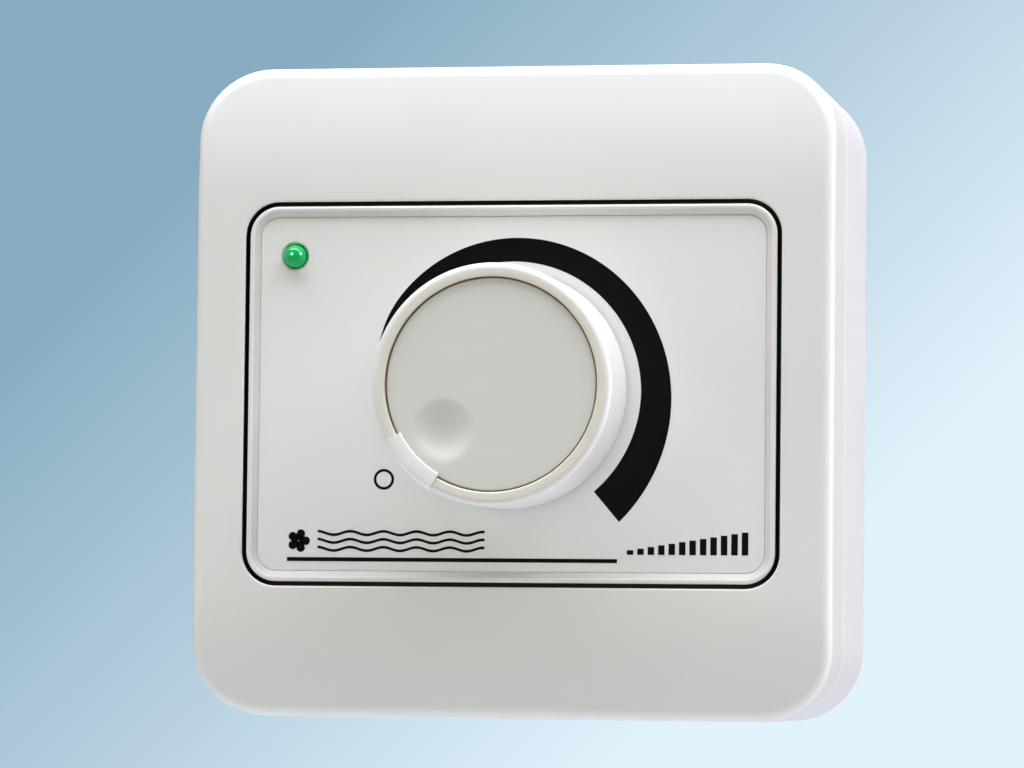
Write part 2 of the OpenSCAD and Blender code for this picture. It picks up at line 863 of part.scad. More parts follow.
module fuse_glass() {
    color("lightcyan") difference() {
        fuse_bar(fuse_r - 0.35, fuse_len - 1);
        fuse_bar(fuse_r - 0.9, fuse_len);
    }
}

module fuse_caps() {
    color("silver") for (side = [-1, 1]) difference() {
        fuse_bar(fuse_r, fuse_cap_len, side * (fuse_len - fuse_cap_len) / 2);
        fuse_bar(fuse_r - 0.35 + 0.01, fuse_len - 1);
    }
}

module fuse_clips() {
    cheek_h = fuse_up + 1.4;
    color("goldenrod") for (side = [-1, 1]) {
        x = fuse_at[0] + side * (fuse_len - fuse_cap_len) / 2;
        block([clip_w, 2 * (fuse_r + clip_t)], board_front, board_front + clip_t, [x, fuse_at[1]]);
        for (cheek = [-1, 1]) block([clip_w, clip_t], board_front, board_front + cheek_h,
                                    [x, fuse_at[1] + cheek * (fuse_r + clip_t / 2)]);
    }
}

// ---- terminals and trimmer ---------------------------------------------------------------------

function pole_x(i) = (i - (poles - 1) / 2) * pole_pitch;

module terminal_block() {
    middle_z = (block_z[0] + block_z[1]) / 2;
    top = board_front + block_h;
    color("seagreen") difference() {
        block([block_w, block_z[1] - block_z[0]], board_front, top, [0, middle_z]);
        for (i = [0:poles - 1]) {
            block([clamp[0] + 2 * seat, clamp[1] + 1], board_front + clamp_up - seat,
                  board_front + clamp_up + clamp[2] + seat, [pole_x(i), block_z[0] + clamp[1] / 2]);
            rod(block_head_r + 0.1, board_front + clamp_up + clamp[2], top + 1, [pole_x(i), middle_z]);
        }
    }
}

module terminal_clamps() {
    entry_r = 1.3;
    middle_z = (block_z[0] + block_z[1]) / 2;
    middle_depth = board_front + clamp_up + 1.9;
    color("silver") for (i = [0:poles - 1]) difference() {
        block([clamp[0], clamp[1]], board_front + clamp_up, board_front + clamp_up + clamp[2],
              [pole_x(i), block_z[0] + clamp[1] / 2 + 0.4]);
        translate([pole_x(i), -middle_depth, block_z[0] - 1]) cylinder(h = clamp[1], r = entry_r);
        rod(block_screw_r + seat, middle_depth, board_front + block_h, [pole_x(i), middle_z]);
    }
}

module terminal_screws() {
    middle_z = (block_z[0] + block_z[1]) / 2;
    head_back = board_front + clamp_up + clamp[2] + 0.6;
    color("silver") for (i = [0:poles - 1]) difference() {
        union() {
            rod(block_screw_r, board_front + clamp_up + 3.4, head_back + 0.1, [pole_x(i), middle_z]);
            rod(block_head_r, head_back, head_back + 1.8, [pole_x(i), middle_z]);
        }
        block([4.4, 0.6], head_back + 1, head_back + 3, [pole_x(i), middle_z]);
    }
}

module trimmer_body() {
    color("steelblue") difference() {
        rod(trimmer_r, board_front, board_front + trimmer_t, trimmer_at);
        rod(rotor_r + seat, board_front + 1, board_front + trimmer_t + 1, trimmer_at);
    }
}

module trimmer_rotor() {
    top = board_front + trimmer_t + rotor_rise;
    color("white") difference() {
        rod(rotor_r, board_front + 1.1, top, trimmer_at);
        block([0.6, 3], top - 0.8, top + 1, trimmer_at);
    }
}

// ---- light and earth ---------------------------------------------------------------------------

module status_led() {
    flange_back = led_flange_front - led_flange_t;
    color("limegreen") {
        rod(led_flange_r, flange_back, led_flange_front, led_at);
        rod(led_r, flange_back, led_top - led_r, led_at);
        translate([led_at[0], -(led_top - led_r), led_at[1]]) sphere(r = led_r);
    }
}

module led_leads() {
    color("silver") for (i = [-1, 1])
        rod(0.25, board_back - pin_out, led_flange_front - led_flange_t,
            [led_at[0] + i * led_pitch / 2, led_at[1]]);
}

module led_spacer() {
    color("ivory") slab(board_front, led_flange_front - led_flange_t) difference() {
        translate(led_at) circle(led_spacer_r);
        for (i = [-1, 1]) translate([led_at[0] + i * led_pitch / 2, led_at[1]]) circle(0.4);
    }
}

module earth_clamp() {
    color("goldenrod") slab(bridge_front, bridge_front + 0.8) translate(earth_at) difference() {
        square([8, 7], center = true);
        circle(m3_r + 0.1);
    }
}

module earth_screw() {
    color("olivedrab") pan_screw(m3_r - 0.05, 2.9, 2, bridge_back - 2, bridge_front + 0.8, earth_at);
}

surface_box();
cable_grommet();
outer_frame();
front_panel();
panel_label();
knob_body();
knob_cap();
knob_index();
pot_shaft();
pot_wiper();
pot_bushing();
pot_washers();
pot_nuts();
pot_housing();
pot_wafer();
pot_track();
pot_terminals();
switch_housing();
switch_cam();
switch_contact();
switch_terminals();
support_plate();
plate_screws();
circuit_board();
board_spacers();
board_screws();
triac_body();
triac_tab();
thermal_pad();
triac_screw();
triac_nut();
choke_core();
choke_winding();
suppression_capacitor();
timing_capacitor();
resistors();
diac();
fuse_glass();
fuse_caps();
fuse_clips();
terminal_block();
terminal_clamps();
terminal_screws();
trimmer_body();
trimmer_rotor();
status_led();
led_leads();
led_spacer();
earth_screw();
earth_clamp();
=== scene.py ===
"""Looks of a surface-mounted rotary fan speed controller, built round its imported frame.

Lengths are metres. X is to the right, Z is up, the front faces -Y and the wall face lies at Y = 0,
so the "depth" of a point is its distance from the wall, which is -Y. Angles are degrees, counter-
clockwise from +X as seen from the front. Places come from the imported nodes' boxes.
"""
import logging
import math
from collections.abc import Callable, Iterable, Sequence
from dataclasses import dataclass, field
from enum import Enum

import bmesh
import bpy
from mathutils import Matrix, Vector


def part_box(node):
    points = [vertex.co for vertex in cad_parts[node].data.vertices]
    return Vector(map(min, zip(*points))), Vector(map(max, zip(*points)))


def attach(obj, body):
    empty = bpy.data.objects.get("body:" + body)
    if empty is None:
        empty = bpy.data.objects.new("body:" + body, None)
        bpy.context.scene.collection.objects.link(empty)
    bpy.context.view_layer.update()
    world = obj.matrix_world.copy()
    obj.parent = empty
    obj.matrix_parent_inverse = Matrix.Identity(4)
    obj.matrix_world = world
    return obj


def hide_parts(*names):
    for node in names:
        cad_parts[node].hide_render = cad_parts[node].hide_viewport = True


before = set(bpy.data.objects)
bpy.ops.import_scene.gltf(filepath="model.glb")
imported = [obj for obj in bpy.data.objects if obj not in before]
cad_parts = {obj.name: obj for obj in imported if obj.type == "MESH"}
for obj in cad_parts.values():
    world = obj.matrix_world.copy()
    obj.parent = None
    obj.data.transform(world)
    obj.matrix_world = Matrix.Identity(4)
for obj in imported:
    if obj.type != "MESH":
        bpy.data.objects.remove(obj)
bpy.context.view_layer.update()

LOG = logging.getLogger("controller")
CONTROLLER, KNOB_GROUP = "controller", "knob_group"
POLE = 1e-7      # the radius of a loop that closes to a point
Colour = tuple[float, float, float]
Loop = list[Vector]


# ---- node trees ---------------------------------------------------------------------------------


@dataclass(frozen=True)
class Wire:
    """An output socket that adds Math nodes when it is used in an expression."""

    graph: "Graph"
    socket: bpy.types.NodeSocket

    def combined(self, operation: str, *values: object) -> "Wire":
        """Returns one Math node's result on any operands, numbers or wires."""
        return self.graph.node("ShaderNodeMath", {"operation": operation},
                               dict(enumerate(values)))

    def math(self, operation: str, *others: object) -> "Wire":
        """Returns one Math node's result on this wire and the other operands."""
        return self.combined(operation, self, *others)

    def above(self, least: float) -> "Wire":
        """Returns the wire, kept at or above a number."""
        return self.math("MAXIMUM", least)

    def below(self, most: float) -> "Wire":
        """Returns the wire, kept at or below a number."""
        return self.math("MINIMUM", most)

    def __add__(self, other: object) -> "Wire":
        """self + other."""
        return self.math("ADD", other)

    def __radd__(self, other: object) -> "Wire":
        """other + self."""
        return self.combined("ADD", other, self)

    def __sub__(self, other: object) -> "Wire":
        """self - other."""
        return self.math("SUBTRACT", other)

    def __rsub__(self, other: object) -> "Wire":
        """other - self."""
        return self.combined("SUBTRACT", other, self)

    def __mul__(self, other: object) -> "Wire":
        """self * other."""
        return self.math("MULTIPLY", other)

    def __rmul__(self, other: object) -> "Wire":
        """other * self."""
        return self.combined("MULTIPLY", other, self)

    def __truediv__(self, other: object) -> "Wire":
        """self / other."""
        return self.math("DIVIDE", other)

    def __rtruediv__(self, other: object) -> "Wire":
        """other / self."""
        return self.combined("DIVIDE", other, self)

    def __gt__(self, other: object) -> "Wire":
        """1 where self is greater than other, else 0."""
        return self.math("GREATER_THAN", other)

    def __lt__(self, other: object) -> "Wire":
        """1 where self is less than other, else 0."""
        return self.math("LESS_THAN", other)


class Graph:
    """A node tree under construction."""

    def __init__(self, tree: bpy.types.NodeTree) -> None:
        """Starts on an empty tree.

        Args:
            tree: The tree that the nodes go into.
        """
        self.tree = tree
        tree.nodes.clear()

    def node(self, kind: str, settings: dict[str, object] | None = None,
             values: dict[int | str, object] | None = None, out: int | str = 0) -> Wire:
        """Adds one node of any type.

        Args:
            kind: The node's type.
            settings: Its properties, and "stops" for a ramp's (place, colour) pairs.
            values: What goes into its sockets: wires, or constants.
            out: The output to return.

        Returns:
            The chosen output, or the node's first input where it has no output.
        """
        node = self.tree.nodes.new(kind)
        for name, value in (settings or {}).items():
            if name == "stops":
                self._stops(node.color_ramp, value)
            else:
                setattr(node, name, value)
        for key, value in (values or {}).items():
            if isinstance(value, Wire):
                self.tree.links.new(value.socket, node.inputs[key])
            else:
                node.inputs[key].default_value = value
        return Wire(self, node.outputs[out] if node.outputs else node.inputs[0])

    @staticmethod
    def _stops(ramp: bpy.types.ColorRamp, stops: Sequence[tuple[float, Colour]]) -> None:
        """Sets a ramp's stops.

        Args:
            ramp: The ramp.
            stops: Its (place, colour) pairs.
        """
        while len(ramp.elements) < len(stops):
            ramp.elements.new(1.0)
        for element, (place, colour) in zip(ramp.elements, stops):
            element.position = place
            element.color = (*colour, 1.0)


class Surface(Graph):
    """The shader tree of one material, with a Principled shader at its end."""

    def __init__(self, name: str) -> None:
        """Starts the material.

        Args:
            name: The material's name.
        """
        self.material = bpy.data.materials.new(name)
        self.material.use_nodes = True
        super().__init__(self.material.node_tree)
        self.shader = self.node("ShaderNodeBsdfPrincipled").socket.node
        self.node("ShaderNodeOutputMaterial", None, {0: Wire(self, self.shader.outputs[0])})
        self.place = self.node("ShaderNodeTexCoord", out="Object")

    def put(self, **values: object) -> None:
        """Sets the Principled shader's sockets.

        Args:
            values: A constant or a wire for each socket, with "_" for a space in its name.
        """
        for key, value in values.items():
            socket = self.shader.inputs[key.replace("_", " ")]
            if isinstance(value, Wire):
                self.tree.links.new(value.socket, socket)
            elif isinstance(value, tuple):
                socket.default_value = (*value, 1.0)
            else:
                socket.default_value = value

    def noise(self, size: float, detail: float = 2.0, stretch: Colour | None = None) -> Wire:
        """Adds a noise over the object.

        Args:
            size: How wide its features are.
            detail: How many finer layers it has.
            stretch: A scale along each axis, or None.

        Returns:
            The noise, about 0.5.
        """
        place = self.place
        if stretch:
            place = self.node("ShaderNodeMapping", None, {"Vector": place, "Scale": stretch})
        return self.node("ShaderNodeTexNoise", None,
                         {"Vector": place, "Scale": 1 / size, "Detail": detail})

    def mix(self, factor: object, first: object, second: object) -> Wire:
        """Mixes two colours.

        Args:
            factor: The share of the second.
            first: A colour or a wire.
            second: A colour or a wire.

        Returns:
            The mixed colour.
        """
        first, second = ((*c, 1.0) if isinstance(c, tuple) else c for c in (first, second))
        return self.node("ShaderNodeMix", {"data_type": "RGBA"}, {0: factor, 6: first, 7: second},
                         out=2)

    def relief(self, height: Wire, depth: float, strength: float = 1.0) -> Wire:
        """Turns a height into a normal.

        Args:
            height: The height, from 0 to 1.
            depth: How deep 1 is.
            strength: The strength of the effect.

        Returns:
            The normal.
        """
        return self.node("ShaderNodeBump", None,
                         {"Strength": strength, "Distance": depth, "Height": height})

    def axis(self, name: str) -> Wire:
        """Returns one coordinate, "X", "Y" or "Z", of the point."""
        return self.node("ShaderNodeSeparateXYZ", None, {0: self.place}, out=name)


class Recipe(Graph):
    """A Geometry Nodes tree with named inputs, which is applied and baked."""

    KINDS = {int: "NodeSocketInt", float: "NodeSocketFloat"}

    def __init__(self, name: str, values: dict[str, int | float]) -> None:
        """Starts the tree.

        Args:
            name: The tree's name.
            values: The value of each named input.
        """
        super().__init__(bpy.data.node_groups.new(name, "GeometryNodeTree"))
        self.values: dict[str, object] = dict(values)
        face = self.tree.interface
        face.new_socket("Geometry", in_out="INPUT", socket_type="NodeSocketGeometry")
        for key, value in values.items():
            face.new_socket(key, in_out="INPUT", socket_type=self.KINDS[type(value)])
        face.new_socket("Material", in_out="INPUT", socket_type="NodeSocketMaterial")
        face.new_socket("Geometry", in_out="OUTPUT", socket_type="NodeSocketGeometry")

    def given(self, name: str) -> Wire:
        """Returns a named input."""
        return self.node("NodeGroupInput", out=name)

    def vector(self, x: object, y: object, z: object) -> Wire:
        """Returns a vector made of three numbers or wires."""
        return self.node("ShaderNodeCombineXYZ", None, {0: x, 1: y, 2: z})

    def line(self, count: object, offset: Colour = (0.0, 0.0, 0.0)) -> Wire:
        """Returns a row of points.

        Args:
            count: How many points it has.
            offset: The step from one to the next.

        Returns:
            The points, joined by edges.
        """
        return self.node("GeometryNodeMeshLine", None, {"Count": count, "Offset": offset})

    def moved(self, mesh: Wire, place: Wire) -> Wire:
        """Returns the mesh with its points at the given places."""
        return self.node("GeometryNodeSetPosition", None, {"Geometry": mesh, "Position": place})

    def copies(self, points: Wire, unit: Wire, **values: object) -> Wire:
        """Returns a copy of the unit on every point.

        Args:
            points: The points.
            unit: What is copied.
            values: The copies' Rotation and Scale.

        Returns:
            The copies.
        """
        return self.node("GeometryNodeInstanceOnPoints", None,
                         {"Points": points, "Instance": unit, **values})

    def bake(self, result: Wire, piece: bpy.types.Object, finish: "Finish") -> bpy.types.Object:
        """Closes the tree, applies it to a piece and turns the result into a plain mesh.

        Args:
            result: The tree's result.
            piece: The object that it is applied to.
            finish: Its finish.

        Returns:
            The same object.
        """
        real = self.node("GeometryNodeRealizeInstances", None, {0: result})
        dressed = self.node("GeometryNodeSetMaterial", None,
                            {"Geometry": real, "Material": self.given("Material")})
        self.node("NodeGroupOutput", None, {0: dressed})
        values = {**self.values, "Material": finish.material()}
        modifier = piece.modifiers.new(self.tree.name, "NODES")
        modifier.node_group = self.tree
        for item in self.tree.interface.items_tree:
            if item.in_out == "INPUT" and item.name in values:
                modifier[item.identifier] = values[item.name]
        baked(piece)
        piece.data.shade_smooth()
        piece.data.set_sharp_from_angle(angle=math.radians(40))
        return piece


# ---- finishes -----------------------------------------------------------------------------------


@dataclass(frozen=True)
class Finish:
    """A material's look. The subclasses say how it is shaded."""

    name: str
    colour: Colour

    def material(self) -> bpy.types.Material:
        """Builds the material on first use.

        Returns:
            The material.
        """
        found = bpy.data.materials.get(self.name)
        if found:
            return found
        surface = Surface(self.name)
        self.shade(surface)
        return surface.material

    def shade(self, surface: Surface) -> None:
        """Fills the shader tree."""
        raise NotImplementedError

    def toned(self, gain: float) -> Colour:
        """Returns the colour made lighter or darker."""
        return tuple(min(1.0, gain * c) for c in self.colour)


class Texture(Enum):
    """The grain of a moulding tool, as its width and depth."""

    POLISHED = (0.0002, 0.000002)
    FILM = (0.00012, 0.000003)
    SPARK = (0.00022, 0.000004)
    COARSE = (0.0004, 0.00001)


@dataclass(frozen=True)
class MouldedPlastic(Finish):
    """Injection-moulded plastic with the tool's grain and a faint cloudiness."""

    roughness: float = 0.42
    texture: Texture = Texture.SPARK
    cloud: float = 0.015
    cloud_size: float = 0.018
    pore_share: float = 0.6

    def base(self, surface: Surface, cloud: Wire) -> Wire:
        """Returns the base colour."""
        return surface.mix(cloud, self.toned(1 - self.cloud), self.toned(1 + self.cloud))

    def shade(self, surface: Surface) -> None:
        """Fills the shader tree.

        Args:
            surface: The material's shader tree.
        """
        width, depth = self.texture.value
        cloud = surface.noise(self.cloud_size, 3.0)
        grain = surface.noise(width, 3.0)
        pores = surface.node("ShaderNodeTexVoronoi", None,
                             {"Vector": surface.place, "Scale": self.pore_share / width})
        surface.put(Base_Color=self.base(surface, cloud),
                    Roughness=self.roughness + 0.08 * (grain - 0.5) + 0.05 * (cloud - 0.5),
                    Normal=surface.relief(0.7 * grain + 0.3 * pores, depth))


@dataclass(frozen=True)
class SeamShadedPlastic(MouldedPlastic):
    """Moulded plastic with painted shade: a cream tint deepening towards a round seam on the
    knob's axis, and a dark line in the seam.
    """

    # Painted shade: tone deepens the ring towards the seam; shade_tone is a painted shadow line in
    # the seam.
    tone: Colour = (0.80, 0.76, 0.66)
    shade_tone: Colour = (0.34, 0.27, 0.17)
    seam: float = 0.01396
    seam_lip: float = 0.00007
    reach: float = 0.0019

    def base(self, surface: Surface, cloud: Wire) -> Wire:
        """Works out the base colour, with painted shade near the seam and in it.

        Args:
            surface: The material's shader tree.
            cloud: The cloudiness, about 0.5.

        Returns:
            The base colour.
        """
        x, z = surface.axis("X"), surface.axis("Z")
        past = (x * x + z * z).math("SQRT") - self.seam
        near = (1 - past / self.reach).above(0.0).below(1.0)
        # Painted shade: the ring darkens to cream towards the seam, then to a dark line in it.
        seam_shaded = surface.mix(near, super().base(surface, cloud), self.tone)
        return surface.mix(past < self.seam_lip, seam_shaded, self.shade_tone)


@dataclass(frozen=True)
class GapShadedPlastic(MouldedPlastic):
    """Moulded plastic with painted shade: near-black in the panel's gap, darker on the bead's
    slope.
    """

    half: tuple[float, float] = (0.0, 0.0)
    corner: float = 0.004
    centre_z: float = 0.0
    depth: float = 0.0
    reach: float = 0.00075
    inset: float = 0.00003
    # Painted shade: the near-black colour of the walls of the panel's gap.
    painted_gap_shade: Colour = (0.01, 0.01, 0.01)
    slope: tuple[float, float] = (0.00068, 0.00136)
    # Painted shade: the darker colour of the bead's inner slope.
    painted_slope_shade: Colour = (0.67, 0.64, 0.60)

    def base(self, surface: Surface, cloud: Wire) -> Wire:
        """Works out the base colour, with painted shade in the gap and on the bead's slope.

        Args:
            surface: The material's shader tree.
            cloud: The cloudiness, about 0.5.

        Returns:
            The base colour.
        """
        x, z = surface.axis("X"), surface.axis("Z") - self.centre_z
        past_x = (x.math("ABSOLUTE") - (self.half[0] - self.corner)).above(0.0)
        past_z = (z.math("ABSOLUTE") - (self.half[1] - self.corner)).above(0.0)
        outside = (past_x * past_x + past_z * past_z).math("SQRT") - self.corner
        # Painted shade: the gap's walls turn near-black below the panel's front.
        shaded_walls = (outside > -self.inset) * (outside < self.reach)
        deep = surface.axis("Y") > -self.depth
        # Painted shade: the bead's inner slope is painted darker all round.
        inner = (outside < -self.slope[0]) * (outside > -self.slope[1])
        plain = surface.mix(inner, super().base(surface, cloud), self.painted_slope_shade)
        return surface.mix(shaded_walls * deep, plain, self.painted_gap_shade)


@dataclass(frozen=True)
class LeadedPlastic(MouldedPlastic):
    """A moulded or dipped body whose tinned leads belong to the same piece."""

    centre_x: float = 0.0
    half: float = 1.0
    foot: float = 0.0139
    bands: tuple[tuple[float, Colour], ...] = ()
    band_width: float = 0.07
    tin: Colour = (0.72, 0.72, 0.71)

    def base(self, surface: Surface, cloud: Wire) -> Wire:
        """Works out the base colour, with the bands across the body.

        Args:
            surface: The material's shader tree.
            cloud: The cloudiness, about 0.5.

        Returns:
            The base colour.
        """
        plain = super().base(surface, cloud)
        if not self.bands:
            return plain
        along = (surface.axis("X") - (self.centre_x - self.half)) / (2 * self.half)
        for place, colour in self.bands:
            inside = (along > place) * (along < place + self.band_width)
            plain = surface.mix(inside, plain, colour)
        return plain

    def shade(self, surface: Surface) -> None:
        """Fills the shader tree.

        Args:
            surface: The material's shader tree.
        """
        super().shade(surface)
        outside = (surface.axis("X") - self.centre_x).math("ABSOLUTE") > self.half
        behind = surface.axis("Y") > -self.foot
        lead = outside.math("MAXIMUM", behind)
        body = Wire(surface, surface.shader.inputs["Base Color"].links[0].from_socket)
        surface.put(Base_Color=surface.mix(lead, body, self.tin), Metallic=lead)


@dataclass(frozen=True)
class CircuitBoard(Finish):
    """Glass-fibre board with a green mask over wide copper areas and the gaps between them."""

    copper: Colour = (0.035, 0.23, 0.085)
    areas: float = 95.0
    gap: float = 0.055
    scatter: float = 0.85
    bend_size: float = 0.02
    weaves: float = 420.0
    depth: float = 0.00003

    def shade(self, surface: Surface) -> None:
        """Fills the shader tree.

        Args:
            surface: The material's shader tree.
        """
        flat = surface.node("ShaderNodeMapping", None, {
            "Vector": surface.place, "Rotation": (math.radians(90), 0.0, 0.0)})
        near, next_near = (surface.node(
            "ShaderNodeTexVoronoi",
            {"voronoi_dimensions": "2D", "distance": "MANHATTAN", "feature": feature},
            {"Vector": flat, "Scale": self.areas, "Randomness": self.scatter})
            for feature in ("F1", "F2"))
        copper = (next_near - near) > self.gap
        bend = surface.noise(self.bend_size, 1.0)
        weave = surface.node("ShaderNodeTexWave", {"wave_type": "BANDS"},
                             {"Vector": flat, "Scale": self.weaves, "Distortion": 0.6}, out="Fac")
        surface.put(Base_Color=surface.mix(copper, self.colour,
                                           surface.mix(bend, self.copper, self.colour)),
                    Roughness=0.3 + 0.1 * bend + 0.03 * weave,
                    Normal=surface.relief(copper + 0.1 * weave, self.depth))


@dataclass(frozen=True)
class Glass(Finish):
    """Drawn glass tube with faint draw lines."""

    line_size: float = 0.0008
    stretch: Colour = (0.05, 1.0, 1.0)
    depth: float = 0.000002

    def shade(self, surface: Surface) -> None:
        """Fills the shader tree.

        Args:
            surface: The material's shader tree.
        """
        lines = surface.noise(self.line_size, 2.0, self.stretch)
        surface.put(Base_Color=surface.mix(lines, self.colour, self.toned(0.95)),
                    Roughness=0.02 + 0.05 * lines, Transmission_Weight=1.0, IOR=1.5,
                    Normal=surface.relief(lines, self.depth))


@dataclass(frozen=True)
class PrintedInk(Finish):
    """Screen-printed ink with a slightly orange-peel skin."""

    skin_size: float = 0.0003
    patch_size: float = 0.006
    depth: float = 0.000003

    def shade(self, surface: Surface) -> None:
        """Fills the shader tree.

        Args:
            surface: The material's shader tree.
        """
        skin = surface.noise(self.skin_size, 3.0)
        patch = surface.noise(self.patch_size)
        surface.put(Base_Color=surface.mix(patch, self.colour, self.toned(1.5)),
                    Roughness=0.45 + 0.12 * (skin - 0.5), Specular_IOR_Level=0.1,
                    Normal=surface.relief(skin, self.depth))


@dataclass(frozen=True)
class Rubber(Finish):
    """Soft rubber with a powdery bloom."""

    bloom_size: float = 0.002
    skin_size: float = 0.0002
    depth: float = 0.00001

    def shade(self, surface: Surface) -> None:
        """Fills the shader tree.

        Args:
            surface: The material's shader tree.
        """
        bloom = surface.noise(self.bloom_size, 4.0)
        skin = surface.noise(self.skin_size, 2.0)
        surface.put(Base_Color=surface.mix(bloom, self.colour, self.toned(1.6)),
                    Roughness=0.72 + 0.15 * (bloom - 0.5),
                    Normal=surface.relief(skin, self.depth))


@dataclass(frozen=True)
class Metal(Finish):
    """Rolled, plated or turned metal with fine streaks and dull patches."""

    roughness: float = 0.3
    streaks: Colour = (1.0, 1.0, 12.0)
    tarnish: Colour | None = None
    streak_size: float = 0.0012
    patch_size: float = 0.004
    depth: float = 0.000004

    def shade(self, surface: Surface) -> None:
        """Fills the shader tree.

        Args:
            surface: The material's shader tree.
        """
        streak = surface.noise(self.streak_size, 3.0, self.streaks)
        patch = surface.noise(self.patch_size, 3.0)
        dull = self.tarnish or self.toned(0.8)
        surface.put(Base_Color=surface.mix(patch * patch, self.colour, dull), Metallic=1.0,
                    Roughness=self.roughness + 0.18 * (streak - 0.5) + 0.15 * (patch - 0.5),
                    Normal=surface.relief(streak, self.depth))


@dataclass(frozen=True)
class LampLens(Finish):
    """Dyed, diffusing lamp epoxy that glows from its die, with painted highlights on its dome."""

    die: Colour = (0.0, 0.0, 0.0)
    reach: float = 0.0034
    die_gain: float = 0.42
    # Places of painted highlights on the dome.
    painted_glints: tuple[Colour, ...] = ()
    painted_glint_size: float = 0.00026
    painted_glint_edge: float = 1.6
    painted_glint_colour: Colour = (0.75, 1.0, 0.85)
    haze_size: float = 0.0006
    depth: float = 0.000002

    def near(self, surface: Surface, place: Colour, reach: float) -> Wire:
        """Returns how near the surface is to a place: 1 there, and 0 at the reach from it."""
        return 1 - surface.node("ShaderNodeVectorMath", {"operation": "DISTANCE"},
                                {0: surface.place, 1: place}, out="Value") / reach

    def shade(self, surface: Surface) -> None:
        """Fills the shader tree.

        Args:
            surface: The material's shader tree.
        """
        haze = surface.noise(self.haze_size, 3.0)
        glow = self.near(surface, self.die, self.reach).above(0.0)
        die_glow_and_painted_glints = surface.mix(glow * (0.8 + 0.4 * haze), (0, 0, 0), self.toned(self.die_gain))
        # Painted highlights: bright emission spots fixed on the dome where the lights' reflections
        # would show.
        for painted_glint in self.painted_glints:
            near = self.near(surface, painted_glint, self.painted_glint_size) * self.painted_glint_edge
            die_glow_and_painted_glints = surface.mix(near.below(1.0).above(0.0), die_glow_and_painted_glints, self.painted_glint_colour)
        surface.put(Base_Color=surface.mix(glow, self.toned(0.8), self.toned(1.25)),
                    Roughness=0.1 + 0.04 * haze, Specular_IOR_Level=0.3, Emission_Color=die_glow_and_painted_glints,
                    Emission_Strength=1.0, Normal=surface.relief(haze, self.depth))


# ---- mesh tools ---------------------------------------------------------------------------------


def at(x: float, depth: float, z: float) -> Vector:
    """Returns a point from its place in the front view and its depth."""
    return Vector((x, -depth, z))


def polar(radius: float, angle: float, depth: float,
          centre: tuple[float, float] = (0, 0)) -> Vector:
    """Returns the point at a radius and an angle round an axis of the front view."""
    turn = math.radians(angle)
    return at(centre[0] + radius * math.cos(turn), depth, centre[1] + radius * math.sin(turn))


def arc(centre: tuple[float, float], radius: float, start: float, end: float,
        steps: int = 6) -> list[tuple[float, float]]:
    """Returns the points of a flat arc, both ends included.

    Args:
        centre: The arc's centre.
        radius: Its radius.
        start: Its first angle.
        end: Its last angle.
        steps: How many segments it has.

    Returns:
        The points, as pairs.
    """
    turns = [math.radians(start + (end - start) * i / steps) for i in range(steps + 1)]
    return [(centre[0] + radius * math.cos(t), centre[1] + radius * math.sin(t)) for t in turns]


@dataclass(frozen=True)
class NodeBox:
    """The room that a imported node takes."""

    low: Vector
    high: Vector

    @classmethod
    def of(cls, node: str) -> "NodeBox":
        """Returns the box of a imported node."""
        return cls(*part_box(node))

    @property
    def middle(self) -> Vector:
        """The box's middle."""
        return (self.low + self.high) / 2

    @property
    def size(self) -> Vector:
        """The box's width, depth and height."""
        return self.high - self.low

    @property
    def front(self) -> float:
        """The depth of its front end."""
        return -self.low.y

    @property
    def back(self) -> float:
        """The depth of its wall end."""
        return -self.high.y


@dataclass(frozen=True)
class RoundRect:
    """An upright rectangle with round corners, as seen from the front."""

    width: float
    height: float
    radius: float
    centre_z: float = 0.0
    corner_steps: int = 12
    side_steps: int = 40
    least_radius: float = 0.0001

    def inset(self, by: float) -> "RoundRect":
        """Moves every side inwards.

        Args:
            by: How far.

        Returns:
            The smaller rectangle, with the same steps.
        """
        radius = max(self.radius - by, self.least_radius)
        return RoundRect(self.width - 2 * by, self.height - 2 * by, radius, self.centre_z,
                         self.corner_steps, self.side_steps)

    def loop(self, depth: Callable[[float], float] | float) -> Loop:
        """Returns its points, counter-clockwise from the right side's lower end.

        Args:
            depth: The depth of the loop, or a function of the height that gives it.

        Returns:
            The points. Two rectangles with the same steps match point for point.
        """
        half_w, half_h = self.width / 2 - self.radius, self.height / 2 - self.radius
        corners = [(half_w, -half_h, -90), (half_w, half_h, 0),
                   (-half_w, half_h, 90), (-half_w, -half_h, 180)]
        flat = []
        for i, (x, z, start) in enumerate(corners):
            bend = arc((x, z + self.centre_z), self.radius, start, start + 90, self.corner_steps)
            flat += bend
            x2, z2, next_start = corners[(i + 1) % 4]
            goal = arc((x2, z2 + self.centre_z), self.radius, next_start, next_start, 1)[0]
            for k in range(1, self.side_steps):
                share = k / self.side_steps
                flat.append(tuple(a + (b - a) * share for a, b in zip(bend[-1], goal)))
        level = depth if callable(depth) else lambda _: depth
        return [at(x, level(z), z) for x, z in flat]


def circle(radius: float, depth: float, centre: tuple[float, float] = (0, 0),
           steps: int = 96) -> Loop:
    """Returns a round loop of points round a line that runs front to back."""
    return [polar(radius, 360 * i / steps, depth, centre) for i in range(steps)]


